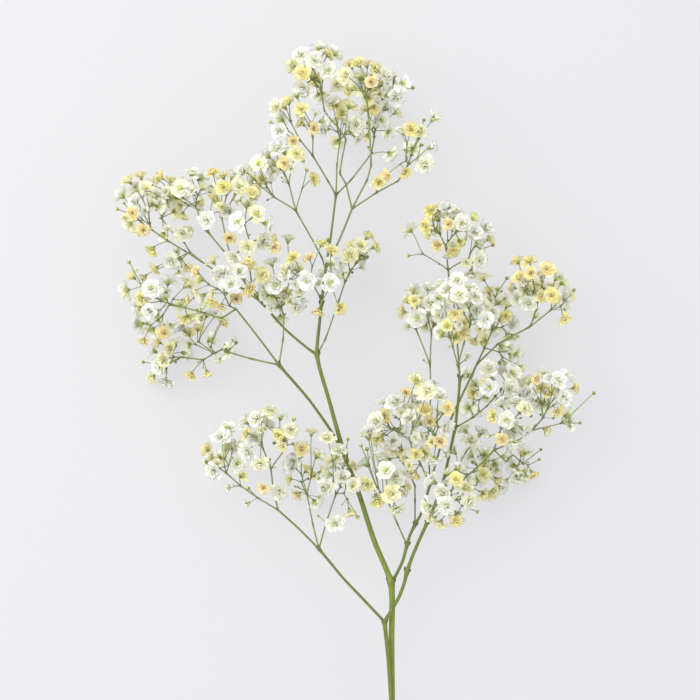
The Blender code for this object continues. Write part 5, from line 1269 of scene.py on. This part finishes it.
def add_late(paths, spots, rng, here, straight, side, up):
    # A late bud on a short hair-thin stalk, or a small bloom that has just opened
    turn = rng.uniform(0, FULL_TURN)
    out = math.cos(turn) * side + math.sin(turn) * up
    opened = rng.random() < 0.5
    aim = unit(straight * rng.uniform(0.5, 1.0) + out)
    tip = here + aim * (rng.uniform(5.0, 9.0) if opened else rng.uniform(3.2, 6.5))
    late = bend(here, tip, 0.5 * unit(straight + aim), 0.8 * aim, len(LATE_WIDTHS) - 1)
    paths.add(late, LATE_WIDTHS, LATE_JOINTS)
    size = rng.uniform(0.42, 0.8)
    if opened:
        size = 0.55 + 0.3 * size
        spots.add(tip + aim * (BLOOM_DEPTH * size - STALK_SUNK), aim, rng.uniform(0, FULL_TURN), size,
                  rng.choice(LATE_FORMS), rng.uniform(0.05, 0.6), rng.uniform(0.96, 1.03))
    else:
        spots.add(tip + aim * 0.4, aim, rng.uniform(0, FULL_TURN), size, FORM_BUD, BUD_WARMTH)


def spray_parts(name, tree, children, leaves, facing):
    rng = random.Random(name)
    paths, spots = Paths(), Spots()
    arriving = {}
    for i, before in enumerate(tree.parent):
        if tree.spray[i] != name or before < 0:
            continue
        kind = tree.kind[i]
        flower = kind != "fork"
        first, here = tree.place[before], tree.place[i]
        if kind == "bloom":
            here = here - facing[i] * (BLOOM_DEPTH - STALK_SUNK)
        straight = unit(here - first)
        leaving = unit(straight + 0.3 * arriving.get(before, straight))
        arriving[i] = unit(straight + 0.8 * facing[i]) if flower else straight
        narrow = thin(leaves, i)
        wide = thin(leaves, before) if tree.parent[before] >= 0 else narrow * 1.15
        points = bend(first, here, 0.8 * leaving, 0.8 * arriving[i], TWIG_STEPS)
        add_twig(paths, points, np.linalg.norm(here - first), wide, narrow, flower)
        if kind == "bloom":
            add_bloom(spots, rng, tree.place[i], facing[i], tree.colour[i])
        elif kind == "bud":
            spots.add(here, facing[i], rng.uniform(0, FULL_TURN), rng.uniform(0.85, 1.15),
                      FORM_BUD, BUD_WARMTH)
        elif len(children[i]) > 1:
            side, up = frame_across(straight, np.array((0.3, 0.2, 1.0)))
            add_joint(spots, rng, here, straight, side, up, narrow)
            for _ in range(rng.choice(LATE_COUNTS)):
                add_late(paths, spots, rng, here, straight, side, up)
    return paths, spots


def smooth_path(points, radii):
    # A rounded line through the points, with a width for each new point
    places, widths = [], []
    last = len(points) - 1
    for k in range(last):
        a, b = points[k], points[k + 1]
        straight = unit(b - a)
        start = unit(straight + unit(a - points[k - 1])) if k else straight
        end = unit(unit(points[k + 2] - b) + straight) if k + 1 < last else straight
        for step, point in enumerate(bend(a, b, 0.7 * start, 0.7 * end, STEM_STEPS)[:-1]):
            t = step / STEM_STEPS
            places.append(point)
            widths.append(radii[k] * (1 - t) + radii[k + 1] * t)
    return places + [points[-1]], widths + [radii[-1]]


def stem_parts(stems):
    # The fused stems, swollen and dry at their joints, with a pair of scale leaves on each
    paths, spots = Paths(), Spots()
    rng = random.Random("joints")
    for name, (points, radii) in stems.items():
        places, widths = smooth_path(points, radii)
        joints = [0.0] * len(places)
        for k, swell in [(k, swell) for stem, k, swell in JOINTS if stem == name]:
            for n, here in enumerate(places):
                gap = np.linalg.norm(here - points[k])
                widths[n] *= 1.0 + (swell - 1.0) * math.exp(-(gap / (JOINT_REACH + radii[k])) ** 2)
                joints[n] = max(joints[n], 0.5 * math.exp(-(gap / JOINT_REACH) ** 2))
            axis = unit(points[min(k + 1, len(points) - 1)] - points[max(k - 1, 0)])
            side, up = frame_across(axis, SCALE_SIDE)
            for half in (0.0, math.pi):
                out = math.cos(half) * side + math.sin(half) * up
                spots.add(points[k] + out * radii[k] * swell * 0.85, unit(axis + out * 0.42),
                          rng.uniform(-0.3, 0.3), 2.0 + 1.1 * radii[k], FORM_SCALE)
        paths.add(places, widths, joints)
    return paths, spots


def cut_face(stems, material):
    # The cut end shows its pale pith inside a thin green rim
    points, radii = stems["main"]
    axis = unit(points[0] - points[1])
    side, up = frame_across(axis, np.array((1.0, 0.0, 0.0)))
    centre = points[0] + axis * 0.05
    rows = [tuple(settled(centre + axis * 0.06))]
    for n in range(PITH_SIDES):
        angle = n * math.tau / PITH_SIDES
        out = math.cos(angle) * side + math.sin(angle) * up
        rows.append(tuple(settled(centre + out * radii[0] * 0.82)))
    mesh = bpy.data.meshes.new("pith")
    mesh.from_pydata(rows, [], [(0, 1 + n, 1 + (n + 1) % PITH_SIDES) for n in range(PITH_SIDES)])
    mesh.materials.append(material)
    return mesh


def dressed(name, paths, spots, forms, trees, skins, sides, extra):
    # One finished piece: its stalks and all that stands on them
    stalks = grown("stalks", paths.mesh(), trees["stalks"],
                   {"Sides": sides, "Thickness": 1.0, "Material": skins["stalk"]})
    choices = {"Forms": forms, "Size": 1.0, **{label: skins[label] for label in FINISHES}}
    heads = grown("heads", spots.mesh(), trees["scatter"], choices)
    piece = joined(name, [stalks, heads] + extra)
    for vertex in piece.data.vertices:
        vertex.co.z = max(vertex.co.z, LEAST_HEIGHT)
    piece.name = name
    return piece


def make_stage():
    mesh = bpy.data.meshes.new("surface")
    corners = [(x * SURFACE_HALF, y * SURFACE_HALF, 0.0) for x, y in ((-1, -1), (1, -1), (1, 1), (-1, 1))]
    mesh.from_pydata(corners, [], [(0, 1, 2, 3)])
    floor = bpy.data.objects.new("surface", mesh)
    bpy.context.scene.collection.objects.link(floor)
    material, tree, shader = new_material("pale card")
    # The card lies on a light table, which glows through it and softens the shadows
    feed(tree, shader, {"Base Color": linear("727273"), "Roughness": 0.9, "Emission Color": linear("FBFBFF"),
                        "Emission Strength": 0.56})
    mesh.materials.append(material)


def make_light(name, place_at, size, power, colour):
    data = bpy.data.lights.new(name, "AREA")
    data.shape = "SQUARE"
    data.size = size
    data.energy = power
    data.color = linear(colour)[:3]
    lamp = bpy.data.objects.new(name, data)
    lamp.location = place_at
    lamp.rotation_euler = (LIT_POINT - Vector(place_at)).to_track_quat("-Z", "Y").to_euler()
    bpy.context.scene.collection.objects.link(lamp)


def make_view():
    # The camera looks straight down on the middle of the photo, under a white sky and one soft lamp
    data = bpy.data.cameras.new("view")
    data.lens = 100.0
    data.sensor_width = 36.0
    camera = bpy.data.objects.new("view", data)
    camera.location = (-SHIFT[0] * MM, -SHIFT[1] * MM, VIEW_HEIGHT * MM)
    bpy.context.scene.collection.objects.link(camera)
    bpy.context.scene.camera = camera
    world = bpy.data.worlds.new("studio")
    world.use_nodes = True
    sky = world.node_tree.nodes["Background"]
    feed(world.node_tree, sky, {"Color": (1.0, 1.0, 1.0, 1.0), "Strength": 1.16})
    bpy.context.scene.world = world
    make_light("key", (-0.6, 0.5, 1.25), 1.2, 18.0, "FFFDF8")
    bpy.context.scene.view_settings.view_transform = "Standard"


def main():
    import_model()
    make_view()
    make_stage()
    stems = stem_paths()
    tree = layout(stems)
    relax(tree, stems)
    facing = bloom_facings(tree)
    children = {i: [] for i in range(len(tree.place))}
    leaves = [int(kind in ("bloom", "bud")) for kind in tree.kind]
    for i, parent in enumerate(tree.parent):
        if parent >= 0:
            children[parent].append(i)
    for i in reversed(range(len(tree.place))):
        if tree.parent[i] >= 0:
            leaves[tree.parent[i]] += leaves[i]
    skins = {"petal": petal_material(), "stalk": stalk_material(), "calyx": calyx_material(),
             "scale": scale_material(), "eye": eye_material(), "pith": pith_material()}
    forms = make_forms(skins)
    trees = {"stalks": stalk_tree(), "scatter": scatter_tree()}
    paths, spots = stem_parts(stems)
    pith = cut_face(stems, skins["pith"])
    stem = dressed("green_stem", paths, spots, forms, trees, skins, STEM_SIDES, [pith])
    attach(stem, "root")
    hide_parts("stem")
    for name in SPRAYS:
        paths, spots = spray_parts(name, tree, children, leaves, facing)
        piece = dressed(name.replace("spray_", "blooms_"), paths, spots, forms, trees, skins, TWIG_SIDES, [])
        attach(piece, "root")
        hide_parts(name)
    for form in list(forms.objects):
        bpy.data.objects.remove(form)
    bpy.data.collections.remove(forms)


main()
